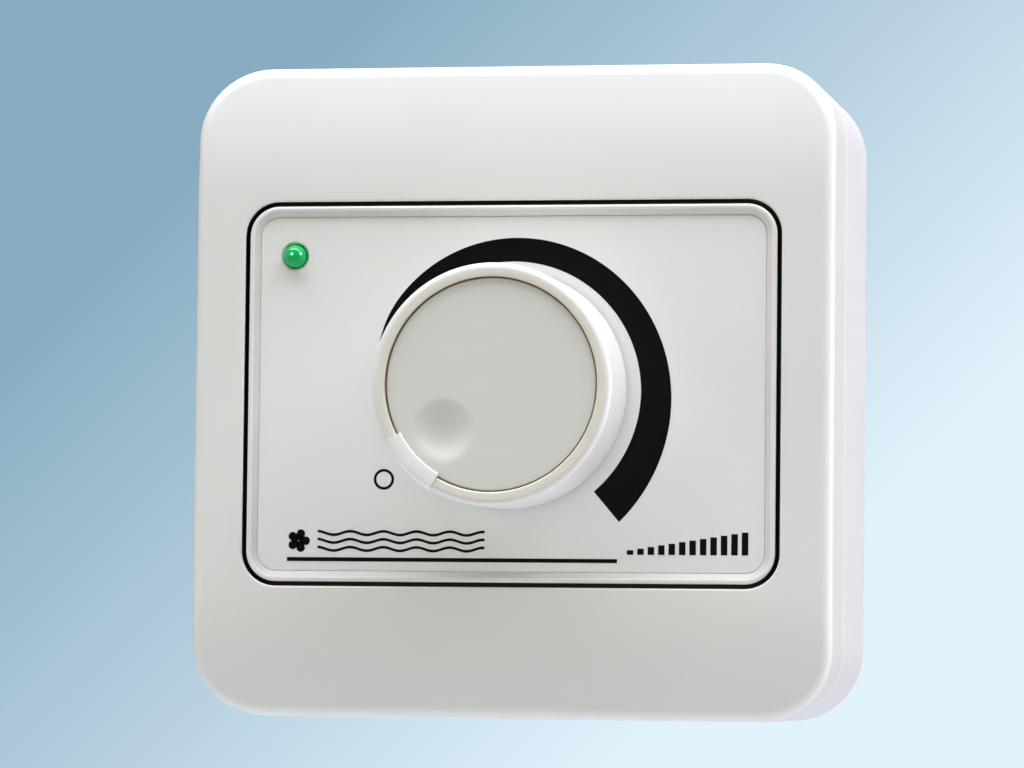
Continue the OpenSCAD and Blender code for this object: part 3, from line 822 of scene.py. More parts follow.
class Shell:
    """A mesh that is built from loops of points."""

    def __init__(self) -> None:
        """Starts an empty mesh."""
        self.mesh = bmesh.new()

    def verts(self, points: Iterable[Vector]) -> list[bmesh.types.BMVert]:
        """Adds points and returns their vertices."""
        return [self.mesh.verts.new(p) for p in points]

    def bridge(self, loops: Sequence[Loop], closed: bool = False, ring: bool = True) -> list[list]:
        """Joins loops of equal length by quads.

        Args:
            loops: The loops, in order.
            closed: Whether the last loop joins the first.
            ring: Whether each loop closes on itself.

        Returns:
            The vertices of each loop.
        """
        rows = [self.verts(loop) for loop in loops]
        pairs = list(zip(rows, rows[1:])) + ([(rows[-1], rows[0])] if closed else [])
        count = len(rows[0])
        for first, second in pairs:
            for i in range(count if ring else count - 1):
                j = (i + 1) % count
                self.mesh.faces.new((first[i], first[j], second[j], second[i]))
        return rows

    def cap(self, row: Sequence[bmesh.types.BMVert]) -> None:
        """Closes a loop with one face."""
        self.mesh.faces.new(row)

    def fill(self, *rows: Sequence[bmesh.types.BMVert]) -> None:
        """Fills the flat area between an outer loop and the holes in it.

        Args:
            rows: The vertices of each loop, the outer one first.
        """
        edges = []
        for row in rows:
            for a, b in zip(row, [*row[1:], row[0]]):
                edges.append(self.mesh.edges.get((a, b)) or self.mesh.edges.new((a, b)))
        bmesh.ops.triangle_fill(self.mesh, use_beauty=True, edges=edges)

    def prism(self, outline: Sequence[tuple[float, float]], back: float, front: float) -> None:
        """Adds a closed plate with a simple outline.

        Args:
            outline: Its (x, z) points.
            back: The depth of its back.
            front: The depth of its front.
        """
        rows = self.bridge([[at(x, back, z) for x, z in outline],
                            [at(x, front, z) for x, z in outline]])
        for row in rows:
            self.cap(row)

    def finish(self, name: str, sharp: float = 30.0, merge: float = 1e-7) -> bpy.types.Object:
        """Turns the shell into an object.

        Args:
            name: The object's name.
            sharp: The angle past which an edge stays sharp.
            merge: The distance at which two points are one.

        Returns:
            The object, with its faces pointing outwards.
        """
        bmesh.ops.remove_doubles(self.mesh, verts=self.mesh.verts, dist=merge)
        bmesh.ops.dissolve_degenerate(self.mesh, edges=self.mesh.edges, dist=merge)
        bmesh.ops.recalc_face_normals(self.mesh, faces=self.mesh.faces)
        data = bpy.data.meshes.new(name)
        self.mesh.to_mesh(data)
        self.mesh.free()
        data.shade_smooth()
        data.set_sharp_from_angle(angle=math.radians(sharp))
        return place(name, data)


def place(name: str, data: bpy.types.Mesh) -> bpy.types.Object:
    """Puts a mesh into the scene as an object at the origin.

    Args:
        name: Its name.
        data: The mesh.

    Returns:
        The object.
    """
    data.name = name
    piece = bpy.data.objects.new(name, data)
    bpy.context.scene.collection.objects.link(piece)
    return piece


def baked(piece: bpy.types.Object) -> bpy.types.Object:
    """Turns an object's modifiers into its plain mesh and removes them.

    Args:
        piece: The object.

    Returns:
        The same object.
    """
    view = bpy.context.evaluated_depsgraph_get()
    data = bpy.data.meshes.new_from_object(piece.evaluated_get(view), depsgraph=view)
    piece.modifiers.clear()
    old, piece.data = piece.data, data
    bpy.data.meshes.remove(old)
    data.name = piece.name
    return piece


def softened(node: str, width: float, segments: int = 3, limit: float = 40.0) -> bpy.types.Object:
    """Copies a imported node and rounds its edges.

    Args:
        node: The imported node.
        width: The width of the rounding.
        segments: How many segments it has.
        limit: The angle past which an edge is rounded.

    Returns:
        The new object, named after the node.
    """
    work = bmesh.new()
    work.from_mesh(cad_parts[node].data)
    bmesh.ops.remove_doubles(work, verts=work.verts, dist=1e-6)
    bmesh.ops.dissolve_limit(work, angle_limit=math.radians(0.5), verts=work.verts,
                             edges=work.edges)
    data = bpy.data.meshes.new(node)
    work.to_mesh(data)
    work.free()
    data.materials.clear()
    data.shade_smooth()
    piece = place(f"{node}_finished", data)
    bevel = piece.modifiers.new("edges", "BEVEL")
    bevel.width = width
    bevel.segments = segments
    bevel.limit_method = "ANGLE"
    bevel.angle_limit = math.radians(limit)
    even = piece.modifiers.new("normals", "WEIGHTED_NORMAL")
    even.weight = 80
    return baked(piece)


def dress(piece: bpy.types.Object, finish: Finish, body: str, slot: str, *nodes: str) -> None:
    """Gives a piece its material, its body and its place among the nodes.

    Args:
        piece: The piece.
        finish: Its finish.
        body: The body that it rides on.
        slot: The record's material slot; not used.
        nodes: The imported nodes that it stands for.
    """
    piece.data.materials.clear()
    piece.data.materials.append(finish.material())
    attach(piece, body)
    if nodes:
        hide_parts(*nodes)
    LOG.info("%s: %d faces on %s", piece.name, len(piece.data.polygons), body)


# ---- finishes of the outer pieces ---------------------------------------------------------------

BOX_WHITE = MouldedPlastic("box_white", (0.84, 0.83, 0.86), roughness=0.38)
FRAME_COLOUR = (0.80, 0.795, 0.78)
LABEL_GREY = MouldedPlastic("label_grey", (0.825, 0.82, 0.81), 0.55, Texture.FILM)
# The knob's plastic, with painted shade at the cap's seam.
KNOB_CREAM = SeamShadedPlastic("knob_cream", (0.82, 0.81, 0.80), 0.30, Texture.POLISHED)
CAP_GREY = MouldedPlastic("cap_grey", (0.735, 0.735, 0.695), 0.50, Texture.FILM)
INDEX_WHITE = MouldedPlastic("index_white", (0.90, 0.895, 0.885), 0.28, Texture.POLISHED)
INK_BLACK = PrintedInk("ink_black", (0.002, 0.002, 0.0022))
GROMMET_RUBBER = Rubber("grommet_rubber", (0.02, 0.02, 0.021))

# ---- finishes of the inner pieces ---------------------------------------------------------------

BRIGHT_STEEL = Metal("bright_steel", (0.66, 0.67, 0.68), 0.26)
PLATE_STEEL = Metal("plate_steel", (0.58, 0.59, 0.60), 0.38, (14.0, 1.0, 1.0))
SHAFT_STEEL = Metal("shaft_steel", (0.68, 0.68, 0.68), 0.22, (1.0, 14.0, 1.0))
EARTH_STEEL = Metal("earth_steel", (0.55, 0.58, 0.30), 0.34)
BRASS = Metal("brass_plain", (0.78, 0.57, 0.25), 0.28, tarnish=(0.60, 0.42, 0.20))
TIN = Metal("tinned", (0.72, 0.72, 0.71), 0.34)
SOLDER = Metal("solder", (0.66, 0.66, 0.65), 0.24, (1.0, 1.0, 1.0))
ENAMELLED_COPPER = Metal("enamelled_copper", (0.72, 0.27, 0.10), 0.2, (1.0, 1.0, 2.0))
PHENOLIC = MouldedPlastic("phenolic_brown", (0.19, 0.075, 0.03), 0.5, Texture.COARSE, 0.2)
CARBON = MouldedPlastic("carbon_black", (0.012, 0.012, 0.013), 0.6, Texture.FILM, 0.1)
BLACK_MOULDING = MouldedPlastic("black_moulding", (0.018, 0.018, 0.02), 0.45, cloud=0.08)
IVORY_MOULDING = MouldedPlastic("ivory_moulding", (0.70, 0.66, 0.53), 0.4, cloud=0.04)
BOARD_GREEN = CircuitBoard("board_green", (0.012, 0.10, 0.035))
PAD_PINK = Rubber("pad_pink", (0.40, 0.22, 0.23))
CORE_YELLOW = MouldedPlastic("core_yellow", (0.62, 0.45, 0.04), 0.35, Texture.COARSE, 0.08)
CASE_YELLOW = LeadedPlastic("case_yellow", (0.66, 0.40, 0.03), 0.42, cloud=0.04)
CASE_RED = LeadedPlastic("case_red", (0.36, 0.022, 0.014), 0.3, Texture.COARSE, 0.08)
FUSE_GLASS = Glass("fuse_glass", (0.92, 0.97, 0.96))
TERMINAL_GREEN = MouldedPlastic("terminal_green", (0.02, 0.20, 0.06), 0.42, cloud=0.05)
TRIMMER_BLUE = MouldedPlastic("trimmer_blue", (0.012, 0.06, 0.24), 0.38, cloud=0.05)


def gap_shaded_white(panel: NodeBox, lip: float = 0.0003) -> GapShadedPlastic:
    """Returns the cover's plastic with painted shade in the gap round the panel.

    Args:
        panel: The panel's box.
        lip: How far below the panel's front the painted shade begins.

    Returns:
        The finish.
    """
    return GapShadedPlastic("frame_white", FRAME_COLOUR, 0.40, centre_z=panel.middle.z,
                         half=(panel.size.x / 2, panel.size.z / 2), depth=panel.front - lip)


# ---- outer sub-assemblies -----------------------------------------------------------------------


@dataclass
class CoverFrame:
    """The cover frame: a flat middle band, falling top and bottom bands, and a window."""

    corner: float = 0.0096
    wall: float = 0.0022
    skin: float = 0.0048
    edge: float = 0.0015
    rim_edge: float = 0.0003
    flat_half: float = 0.0262
    slope: float = 12.0
    window_edge: float = 0.0003
    gap: float = 0.0006
    ledge: float = 0.003
    edge_steps: int = 8
    side_end: float = 1.3
    face_steps: int = 24
    first_step: float = 0.15
    sill_seat: float = 0.0001
    shelf_tighter: float = 0.001
    box: NodeBox = field(default_factory=lambda: NodeBox.of("outer_frame"))
    panel: NodeBox = field(default_factory=lambda: NodeBox.of("front_panel"))
    panel_radius: float = 0.004

    def face_depth(self, z: float) -> float:
        """Works out the front face: flat in the middle, then one falling arc.

        Args:
            z: The height.

        Returns:
            The depth of the face at that height.
        """
        past = max(0.0, abs(z) - self.flat_half)
        slope = math.sin(math.radians(self.slope))
        bend = (self.box.size.z / 2 - self.edge * (1 - slope) - self.flat_half) / slope
        return self.box.front - bend + math.sqrt(bend ** 2 - past ** 2)

    def build(self) -> bpy.types.Object:
        """Builds the frame as one closed shell.

        Returns:
            The frame.
        """
        size, back = self.box.size, self.box.back
        outer = RoundRect(size.x, size.z, self.corner)
        window = RoundRect(self.panel.size.x + 2 * self.gap, self.panel.size.z + 2 * self.gap,
                           self.panel_radius + self.gap, self.panel.middle.z)
        face, sill = self.face_depth, self.panel.back
        skin_back = self.box.front - self.skin
        loops = [outer.inset(self.rim_edge - x).loop(back + self.rim_edge - d)
                 for x, d in arc((0, 0), self.rim_edge, 90, 0, 4)]
        loops += [outer.loop(back + 2 * self.rim_edge),
                  outer.loop(lambda z: face(z) - self.side_end * self.edge)]
        for x, d in arc((0, 0), self.edge, 0, 90, self.edge_steps):
            loops.append(outer.inset(self.edge - x).loop(
                lambda z, d=d: face(z) - self.edge + d))
        near = outer.inset(self.edge).loop(face)
        far = window.inset(-self.window_edge).loop(face)
        for i in range(self.face_steps + 1):
            share = (i + self.first_step) / (self.face_steps + 2 * self.first_step)
            row = [a.lerp(b, share) for a, b in zip(near, far)]
            loops.append([at(p.x, face(p.z), p.z) for p in row])
        for x, d in arc((0, 0), self.window_edge, 90, 0, 5):
            loops.append(window.inset(x - self.window_edge).loop(
                lambda z, d=d: face(z) - self.window_edge + d))
        loops += [window.loop(sill + self.sill_seat), window.loop(sill)]
        shelf = RoundRect(self.panel.size.x - 2 * self.ledge, self.panel.size.z - 2 * self.ledge,
                          self.panel_radius - self.shelf_tighter, self.panel.middle.z)
        inner = outer.inset(self.wall)
        loops += [shelf.loop(sill), shelf.loop(skin_back), inner.loop(skin_back),
                  inner.loop(back)]
        shell = Shell()
        shell.bridge(loops, closed=True)
        return shell.finish("cover_frame", sharp=35)

    def dress(self) -> None:
        """Builds and dresses the frame."""
        dress(self.build(), gap_shaded_white(self.panel), CONTROLLER, "frame_plastic", "outer_frame")


@dataclass
class FrontPanel:
    """The panel with its raised bead, and the label that lies in it."""

    radius: float = 0.004
    rim: float = 0.0014
    bead: float = 0.0007
    bead_ring: float = 0.0001
    crown: tuple[float, float] = (0.00022, 0.00003)
    shoulder: tuple[float, float] = (0.00034, 0.0001)
    slope_run: float = 0.00008
    slope_foot: float = 0.00002
    back_ring: float = 0.0002
    edge: float = 0.00006
    bushing_hole: float = 0.00505
    lamp_hole: float = 0.0017
    label_bushing_hole: float = 0.0055
    label_lamp_hole: float = 0.0019
    fit: float = 0.00005
    box: NodeBox = field(default_factory=lambda: NodeBox.of("front_panel"))
    label: NodeBox = field(default_factory=lambda: NodeBox.of("panel_label"))
    lamp: NodeBox = field(default_factory=lambda: NodeBox.of("status_led"))

    @property
    def lamp_at(self) -> tuple[float, float]:
        """The lamp's place in the front view."""
        return self.lamp.middle.x, self.lamp.middle.z

    @property
    def outline(self) -> RoundRect:
        """The panel's outline."""
        return RoundRect(self.box.size.x, self.box.size.z, self.radius, self.box.middle.z,
                         side_steps=16)

    def build_panel(self) -> bpy.types.Object:
        """Builds the panel: bead, seat of the label, holes and flat back.

        Returns:
            The panel.
        """
        front, back = self.box.front, self.box.back
        half = self.bead / 2
        section = [(0.0, back), (0.0, back + self.back_ring),
                   (0.0, front - half - self.bead_ring)]
        section += [(half - x, front - half + d) for x, d in arc((0, 0), half, 0, 90, 6)]
        section += [(half + run, front - drop) for run, drop in (self.crown, self.shoulder)]
        section += [(self.rim - self.slope_run, self.label.front + self.slope_foot),
                    (self.rim, self.label.front - self.slope_foot), (self.rim, self.label.back)]
        shell = Shell()
        rows = shell.bridge([self.outline.inset(x).loop(d) for x, d in section])
        holes = []
        for radius, centre in ((self.bushing_hole, (0.0, 0.0)), (self.lamp_hole, self.lamp_at)):
            holes.append(shell.bridge([circle(radius, back, centre),
                                       circle(radius, self.label.back, centre)]))
        shell.fill(rows[0], *(hole[0] for hole in holes))
        shell.fill(rows[-1], *(hole[1] for hole in holes))
        return shell.finish("panel_rim", sharp=35)

    def build_label(self) -> bpy.types.Object:
        """Builds the label: a thin sheet with a hole for the bushing and one for the lamp.

        Returns:
            The label.
        """
        edge = self.edge
        outline = self.outline.inset(self.rim + self.fit)
        section = [(0.0, self.label.back), (0.0, self.label.front - edge),
                   (edge, self.label.front)]
        shell = Shell()
        rows = shell.bridge([outline.inset(x).loop(d) for x, d in section])
        holes = []
        for radius, centre in ((self.label_bushing_hole, (0.0, 0.0)),
                               (self.label_lamp_hole, self.lamp_at)):
            holes.append(shell.bridge([circle(radius + x, d, centre) for x, d in section]))
        shell.fill(rows[0], *(hole[0] for hole in holes))
        shell.fill(rows[-1], *(hole[-1] for hole in holes))
        return shell.finish("label_sheet", sharp=35)

    def dress(self) -> None:
        """Builds and dresses the panel and its label."""
        dress(self.build_panel(), gap_shaded_white(self.box), CONTROLLER, "frame_plastic",
              "front_panel")
        dress(self.build_label(), LABEL_GREY, CONTROLLER, "label_film", "panel_label")


@dataclass
class LabelPrint:
    """The label's printed marks: the scale, the off sign, a rule and generic pictograms."""

    thickness: float = 0.00002
    scale_inner: float = 0.01755
    scale_inner_drift: float = 0.0000055
    scale_outer: float = 0.02142
    scale_outer_drift: float = 0.00001375
    scale_flare: float = 0.000000087
    scale_flare_end: float = 40.0
    scale_start: float = -49.6
    scale_taper: float = 0.000001
    scale_taper_start: float = 140.0
    scale_end: float = 178.0
    scale_least: float = 0.00002
    line_steps: int = 160
    rule_x: tuple[float, float] = (-0.02996, 0.01457)
    rule_z: float = -0.02205
    rule_width: float = 0.00053
    off_at: tuple[float, float] = (-0.0169, -0.0114)
    off_radius: float = 0.0012
    off_steps: int = 48
    stroke: float = 0.00036
    fan_at: tuple[float, float] = (-0.0284, -0.0196)
    fan_radius: float = 0.00155
    fan_blades: int = 5
    wave_x: tuple[float, float] = (-0.0258, -0.0032)
    wave_gap: float = 0.00105
    wave_height: float = 0.00024
    wave_length: float = 0.0045
    bar_x: tuple[float, float] = (0.0156, 0.0322)
    bar_foot: float = -0.0212
    bar_count: int = 12
    bar_heights: tuple[float, float] = (0.0006, 0.003)
    bar_share: float = 0.62
    label: NodeBox = field(default_factory=lambda: NodeBox.of("panel_label"))

    def lift(self, x: float, z: float) -> tuple[float, float]:
        """Turns a place relative to the label's middle into one of the front view."""
        return x, z + self.label.middle.z

    def ribbon(self, shell: Shell, inner: Sequence[tuple[float, float]],
               outer: Sequence[tuple[float, float]], ring: bool = False) -> None:
        """Adds a closed strip of ink between two lines of (x, z) points.

        Args:
            shell: The shell that it goes into.
            inner: The first line.
            outer: The second line.
            ring: Whether the strip closes on itself.
        """
        back, front = self.label.front, self.label.front + self.thickness
        rows = [[at(x, d, z) for x, z in line]
                for line, d in ((inner, back), (inner, front), (outer, front), (outer, back))]
        made = shell.bridge(rows, closed=True, ring=ring)
        if not ring:
            shell.cap([row[0] for row in made])
            shell.cap([row[-1] for row in made])

    def scale_radii(self, angle: float) -> tuple[float, float]:
        """Works out the scale's edges.

        Args:
            angle: The angle.

        Returns:
            The inner and the outer radius at that angle.
        """
        inner = self.scale_inner - self.scale_inner_drift * max(0.0, angle)
        outer = (self.scale_outer - self.scale_outer_drift * angle
                 + self.scale_flare * max(0.0, self.scale_flare_end - angle) ** 2
                 - self.scale_taper * max(0.0, angle - self.scale_taper_start) ** 2)
        return inner, max(outer, inner + self.scale_least)

    def build_scale(self) -> bpy.types.Object:
        """Builds the crescent scale, which thins out towards the off position.

        Returns:
            The scale.
        """
        angles = [self.scale_start + (self.scale_end - self.scale_start) * i / self.line_steps
                  for i in range(self.line_steps + 1)]
        inner = [arc((0, 0), self.scale_radii(a)[0], a, a, 1)[0] for a in angles]
        outer = [arc((0, 0), self.scale_radii(a)[1], a, a, 1)[0] for a in angles]
        shell = Shell()
        self.ribbon(shell, inner, outer)
        return shell.finish("speed_scale")

    def build_off_sign(self) -> bpy.types.Object:
        """Builds the off sign: a plain ring.

        Returns:
            The sign.
        """
        centre = self.lift(*self.off_at)
        half, last = self.stroke / 2, self.off_steps - 1
        end = 360 * last / self.off_steps
        shell = Shell()
        self.ribbon(shell, arc(centre, self.off_radius - half, 0, end, last),
                    arc(centre, self.off_radius + half, 0, end, last), ring=True)
        return shell.finish("off_sign")

    def build_rule(self) -> bpy.types.Object:
        """Builds the straight rule at the label's foot.

        Returns:
            The rule.
        """
        (left, z), (right, _) = (self.lift(x, self.rule_z) for x in self.rule_x)
        low, high = z - self.rule_width / 2, z + self.rule_width / 2
        shell = Shell()
        shell.prism([(left, low), (right, low), (right, high), (left, high)],
                    self.label.front, self.label.front + self.thickness)
        return shell.finish("label_rule")

    def build_fan(self) -> bpy.types.Object:
        """Builds the fan pictogram: copies of one blade round its hub.

        Returns:
            The pictogram.
        """
        front = self.label.front
        radius = self.fan_radius
        blade = [(radius * x, radius * z) for x, z in
                 (*arc((0.62, 0.0), 0.38, -90, 60, 12), *arc((0.4, 0.05), 0.36, 100, 200, 8),
                  (0.1, -0.1), (0.34, -0.24))]
        shell = Shell()
        shell.prism(blade, front, front + self.thickness)
        piece = shell.finish("fan_sign")
        recipe = Recipe("fan_sign", {"Blades": self.fan_blades})
        step = 2 * math.pi / recipe.given("Blades")
        turn = recipe.vector(0.0, recipe.node("GeometryNodeInputIndex") * step, 0.0)
        x, z = self.lift(*self.fan_at)
        hub = recipe.moved(recipe.line(recipe.given("Blades")), recipe.vector(x, 0.0, z))
        fan = recipe.copies(hub, recipe.given("Geometry"), Rotation=turn)
        return recipe.bake(fan, piece, INK_BLACK)

    def build_waves(self) -> bpy.types.Object:
        """Builds the airflow sign: three wavy lines.

        Returns:
            The sign.
        """
        shell = Shell()
        for row in (-1, 0, 1):
            line = []
            for i in range(self.line_steps + 1):
                x = self.wave_x[0] + (self.wave_x[1] - self.wave_x[0]) * i / self.line_steps
                rise = self.wave_height * math.sin(2 * math.pi * x / self.wave_length)
                line.append(self.lift(x, self.fan_at[1] + row * self.wave_gap + rise))
            half = self.stroke / 2
            self.ribbon(shell, [(x, z - half) for x, z in line], [(x, z + half) for x, z in line])
        return shell.finish("airflow_sign")

    def build_bars(self) -> bpy.types.Object:
        """Builds the speed sign: a row of growing bars.

        Returns:
            The sign.
        """
        left, right = self.bar_x
        pitch = (right - left) / self.bar_count
        short, tall = self.bar_heights
        recipe = Recipe("speed_bars", {"Bars": self.bar_count, "Pitch": pitch,
                                       "Short": short, "Tall": tall})
        index = recipe.node("GeometryNodeInputIndex")
        growth = (recipe.given("Tall") - recipe.given("Short")) / (recipe.given("Bars") - 1)
        height = recipe.given("Short") + growth * index
        foot = self.lift(0.0, self.bar_foot)[1]
        depth = self.label.front + self.thickness / 2
        places = recipe.vector(left + recipe.given("Pitch") * (index + 0.5), -depth,
                               foot + height * 0.5)
        cube = recipe.node("GeometryNodeMeshCube", None, {"Size": (1.0, 1.0, 1.0)})
        bars = recipe.copies(recipe.moved(recipe.line(recipe.given("Bars")), places), cube,
                             Scale=recipe.vector(recipe.given("Pitch") * self.bar_share,
                                                 self.thickness, height))
        return recipe.bake(bars, place("speed_bars", bpy.data.meshes.new("speed_bars")),
                           INK_BLACK)

    def dress(self) -> None:
        """Builds and dresses every mark."""
        for build in (self.build_scale, self.build_off_sign, self.build_rule, self.build_fan,
                      self.build_waves, self.build_bars):
            dress(build(), INK_BLACK, CONTROLLER, "label_film")


@dataclass
class Knob:
    """The knob: skirt with its ring, cap with a finger dimple, and the index piece."""

    off_angle: float = 224.0
    index_span: float = 32.0
    index_overlap: float = 0.00045
    index_rise: float = 0.00015
    taper: float = 0.0001
    ring_edge: float = 0.0009
    ring_inner_edge: float = 0.0003
    foot_edge: float = 0.0003
    skirt: float = 0.002
    web: float = 0.0012
    hub_radius: float = 0.005
    hub_bore: float = 0.00303
    hub_clear: float = 0.0008
    skirt_edge: float = 0.0001
    index_depth: float = 0.0024
    index_edge: float = 0.00025
    index_steps: int = 24
    slot_slack: float = 0.15
    slot_steps: int = 16
    fit: float = 0.00005
    seam: float = 0.00011
    dimple_radius: float = 0.0037
    dimple_depth: float = 0.0009
    dimple_at: float = 0.0087
    dimple_blend: float = 0.0007
    cap_edge: float = 0.00018
    cap_rings: int = 72
    steps: int = 192
    box: NodeBox = field(default_factory=lambda: NodeBox.of("knob_body"))
    cap: NodeBox = field(default_factory=lambda: NodeBox.of("knob_cap"))
    index: NodeBox = field(default_factory=lambda: NodeBox.of("knob_index"))

    @property
    def radius(self) -> float:
        """The ring's outer radius."""
        return self.box.size.z / 2

    @property
    def seat_radius(self) -> float:
        """The radius of the cap's seat."""
        return self.cap.high.x + self.seam

    def body_section(self) -> list[tuple[float, float]]:
        """Works out the skirt's closed section, from the seat's middle out.

        Returns:
            The section, as (radius, depth) points.
        """
        front, back, outer = self.box.front, self.box.back, self.radius
        foot, seat = outer - self.taper, self.cap.back
        web_back = seat - self.web
        hub_back = NodeBox.of("pot_bushing").front + self.hub_clear
        lip = self.ring_inner_edge
        return [
            (self.hub_bore, seat), (self.seat_radius, seat),
            (self.seat_radius, front - 2 * lip),
            *arc((self.seat_radius + lip, front - lip), lip, 180, 90, 4),
            *arc((outer - self.ring_edge, front - self.ring_edge), self.ring_edge, 90, 0, 8),
            (outer - self.taper * 0.1, front - 2 * self.ring_edge),
            (foot, back + 2 * self.foot_edge),
            *arc((foot - self.foot_edge, back + self.foot_edge), self.foot_edge, 0, -90, 4),
            (foot - self.skirt + self.skirt_edge, back),
            (foot - self.skirt, back + self.skirt_edge),
            (outer - self.skirt, web_back), (self.hub_radius, web_back),
            (self.hub_radius, hub_back), (self.hub_bore, hub_back)]

    def turns(self) -> tuple[list[float], list[float]]:
        """Works out the angles of the columns that the knob is built from.

        Returns:
            Those outside the index piece's slot, and those inside it.
        """
        half = self.index_span / 2 + self.slot_slack
        low, high = self.off_angle - half, self.off_angle + half
        outside = [high + (low + 360 - high) * i / self.steps for i in range(self.steps + 1)]
        inside = [low + (high - low) * i / self.slot_steps for i in range(self.slot_steps + 1)]
        return outside, inside

    def build_body(self) -> bpy.types.Object:
        """Builds the skirt and ring, with the slot that the index piece fills.

        Returns:
            The skirt.
        """
        section = self.body_section()
        floor = self.cap.front - self.index_depth
        inner = self.cap.high.x - self.index_overlap - self.fit
        lowered = [(r, min(d, floor) if r > inner else d) for r, d in section]
        outside, inside = self.turns()
        columns = [[polar(r, a, d) for r, d in section] for a in outside]
        columns += [[polar(r, a, d) for r, d in lowered] for a in inside]
        shell = Shell()
        shell.bridge(columns, closed=True)
        return shell.finish("knob_skirt", sharp=35, merge=1e-6)

    def cap_height(self, radius: float, angle: float) -> float:
        """Works out the finger dimple, whose rim is blended.

        Args:
            radius: The point's radius.
            angle: The point's angle.

        Returns:
            How far the cap's face lies below its plane there.
        """
        point = Vector(arc((0, 0), radius, angle, angle, 1)[0])
        centre = Vector(arc((0, 0), self.dimple_at, self.off_angle, self.off_angle, 1)[0])
        far = (point - centre).length
        bowl = (self.dimple_radius ** 2 + self.dimple_depth ** 2) / (2 * self.dimple_depth)
        if far >= self.dimple_radius + self.dimple_blend:
            return 0.0
        edge = self.dimple_radius - self.dimple_blend

        def sphere(x: float) -> float:
            """Returns the bowl's depth at a distance from its middle."""
            return math.sqrt(bowl ** 2 - x ** 2) - bowl + self.dimple_depth

        if far <= edge:
            return sphere(far)
        share = (far - edge) / (2 * self.dimple_blend)
        slope = -edge / math.sqrt(bowl ** 2 - edge ** 2) * 2 * self.dimple_blend
        start = sphere(edge)
        return ((2 * share ** 3 - 3 * share ** 2 + 1) * start
                + (share ** 3 - 2 * share ** 2 + share) * slope)

    def build_cap(self) -> bpy.types.Object:
        """Builds the cap: a disc with a soft edge, a finger dimple and room for the index.

        Returns:
            The cap.
        """
        radius, face, back = self.cap.high.x, self.cap.front, self.cap.back
        notch = radius - self.index_overlap - self.fit
        rim = arc((radius - self.cap_edge, face - self.cap_edge), self.cap_edge, 0, 90, 4)
        flat = radius - 1.2 * self.cap_edge
        outside, inside = self.turns()
        columns = []
        for angles, limit in ((outside, radius), (inside, notch)):
            for angle in angles:
                column = [polar(POLE, angle, back), polar(limit, angle, back)]
                column += [polar(min(r, limit), angle, d) for r, d in rim]
                for i in range(self.cap_rings + 1):
                    r = min(flat * (1 - i / self.cap_rings) + POLE, limit)
                    column.append(polar(r, angle, face - self.cap_height(r, angle)))
                columns.append(column)
        shell = Shell()
        shell.bridge(columns, closed=True, ring=False)
        return shell.finish("knob_disc", sharp=35, merge=1e-6)

    def build_index(self) -> bpy.types.Object:
        """Builds the index piece, a rounded sector that stands just proud of the ring.

        Returns:
            The index piece.
        """
        inner = self.cap.high.x - self.index_overlap
        outer = self.radius + self.index_rise
        front = self.index.front
        back, edge = self.index.back, self.ring_edge
        soft = self.index_edge
        section = [(inner, back), (inner, front - 2 * soft),
                   *arc((inner + soft, front - soft), soft, 180, 90, 4),
                   *arc((outer - edge, front - edge), edge, 90, 0, 8), (outer, back)]
        half = self.index_span / 2
        angles = [self.off_angle - half + self.index_span * i / self.index_steps
                  for i in range(self.index_steps + 1)]
        shell = Shell()
        rows = shell.bridge([[polar(r, a, d) for r, d in section] for a in angles])
        shell.cap(rows[0])
        shell.cap(rows[-1])
        return shell.finish("knob_pointer", sharp=35)

    def dress(self) -> None:
        """Builds and dresses the knob's three pieces."""
        dress(self.build_body(), KNOB_CREAM, KNOB_GROUP, "knob_plastic", "knob_body")
        dress(self.build_cap(), CAP_GREY, KNOB_GROUP, "cap_plastic", "knob_cap")
        dress(self.build_index(), INDEX_WHITE, KNOB_GROUP, "knob_plastic", "knob_index")


@dataclass
class StatusLamp:
    """The green lamp with its dome and flange."""

    radius: float = 0.0015
    flange: float = 0.0019
    flange_thickness: float = 0.001
    flange_edge: float = 0.0001
    die_depth: float = 0.0022
    # Painted highlights on the dome, in lens radii: across, up and sink.
    painted_glints: tuple[Colour, ...] = ((-0.08, 0.14, 0.013), (0.68, 0.16, 0.285))
    box: NodeBox = field(default_factory=lambda: NodeBox.of("status_led"))

    def build(self) -> bpy.types.Object:
        """Builds the lamp as one turned body.

        Returns:
            The lamp.
        """
        front, back = self.box.front, self.box.back
        centre = (self.box.middle.x, self.box.middle.z)
        top, soft = back + self.flange_thickness, self.flange_edge
        section = [(POLE, back), (self.flange - soft, back), (self.flange, back + soft),
                   (self.flange, top - soft), (self.flange - soft, top),
                   (self.radius, top), (self.radius, top + soft),
                   *arc((0, front - self.radius), self.radius, 0, 89.9, 16)]
        shell = Shell()
        shell.bridge([circle(r, d, centre, 64) for r, d in section])
        return shell.finish("lamp_lens", sharp=40, merge=1e-6)

    def dress(self) -> None:
        """Builds and dresses the lamp."""
        x, z, front = self.box.middle.x, self.box.middle.z, self.box.front
        painted_glints = tuple(tuple(at(x + across * self.radius, front - sink * self.radius,
                                z + up * self.radius))
                       for across, up, sink in self.painted_glints)
        lens = LampLens("lamp_green", (0.0, 0.36, 0.09),
                        tuple(at(x, front - self.die_depth, z)), painted_glints=painted_glints)
        dress(self.build(), lens, CONTROLLER, "led_lens", "status_led")


@dataclass
class WallBox:
    """The wall box and the rubber grommet in its floor."""

    edge: float = 0.0003
    grommet_edge: float = 0.0002

    def dress(self) -> None:
        """Rounds the edges of the box and the grommet, and dresses both."""
        dress(softened("surface_box", self.edge), BOX_WHITE, CONTROLLER, "box_plastic",
              "surface_box")
        dress(softened("cable_grommet", self.grommet_edge), GROMMET_RUBBER, CONTROLLER,
              "grommet_rubber", "cable_grommet")


# ---- inner sub-assemblies -----------------------------------------------------------------------


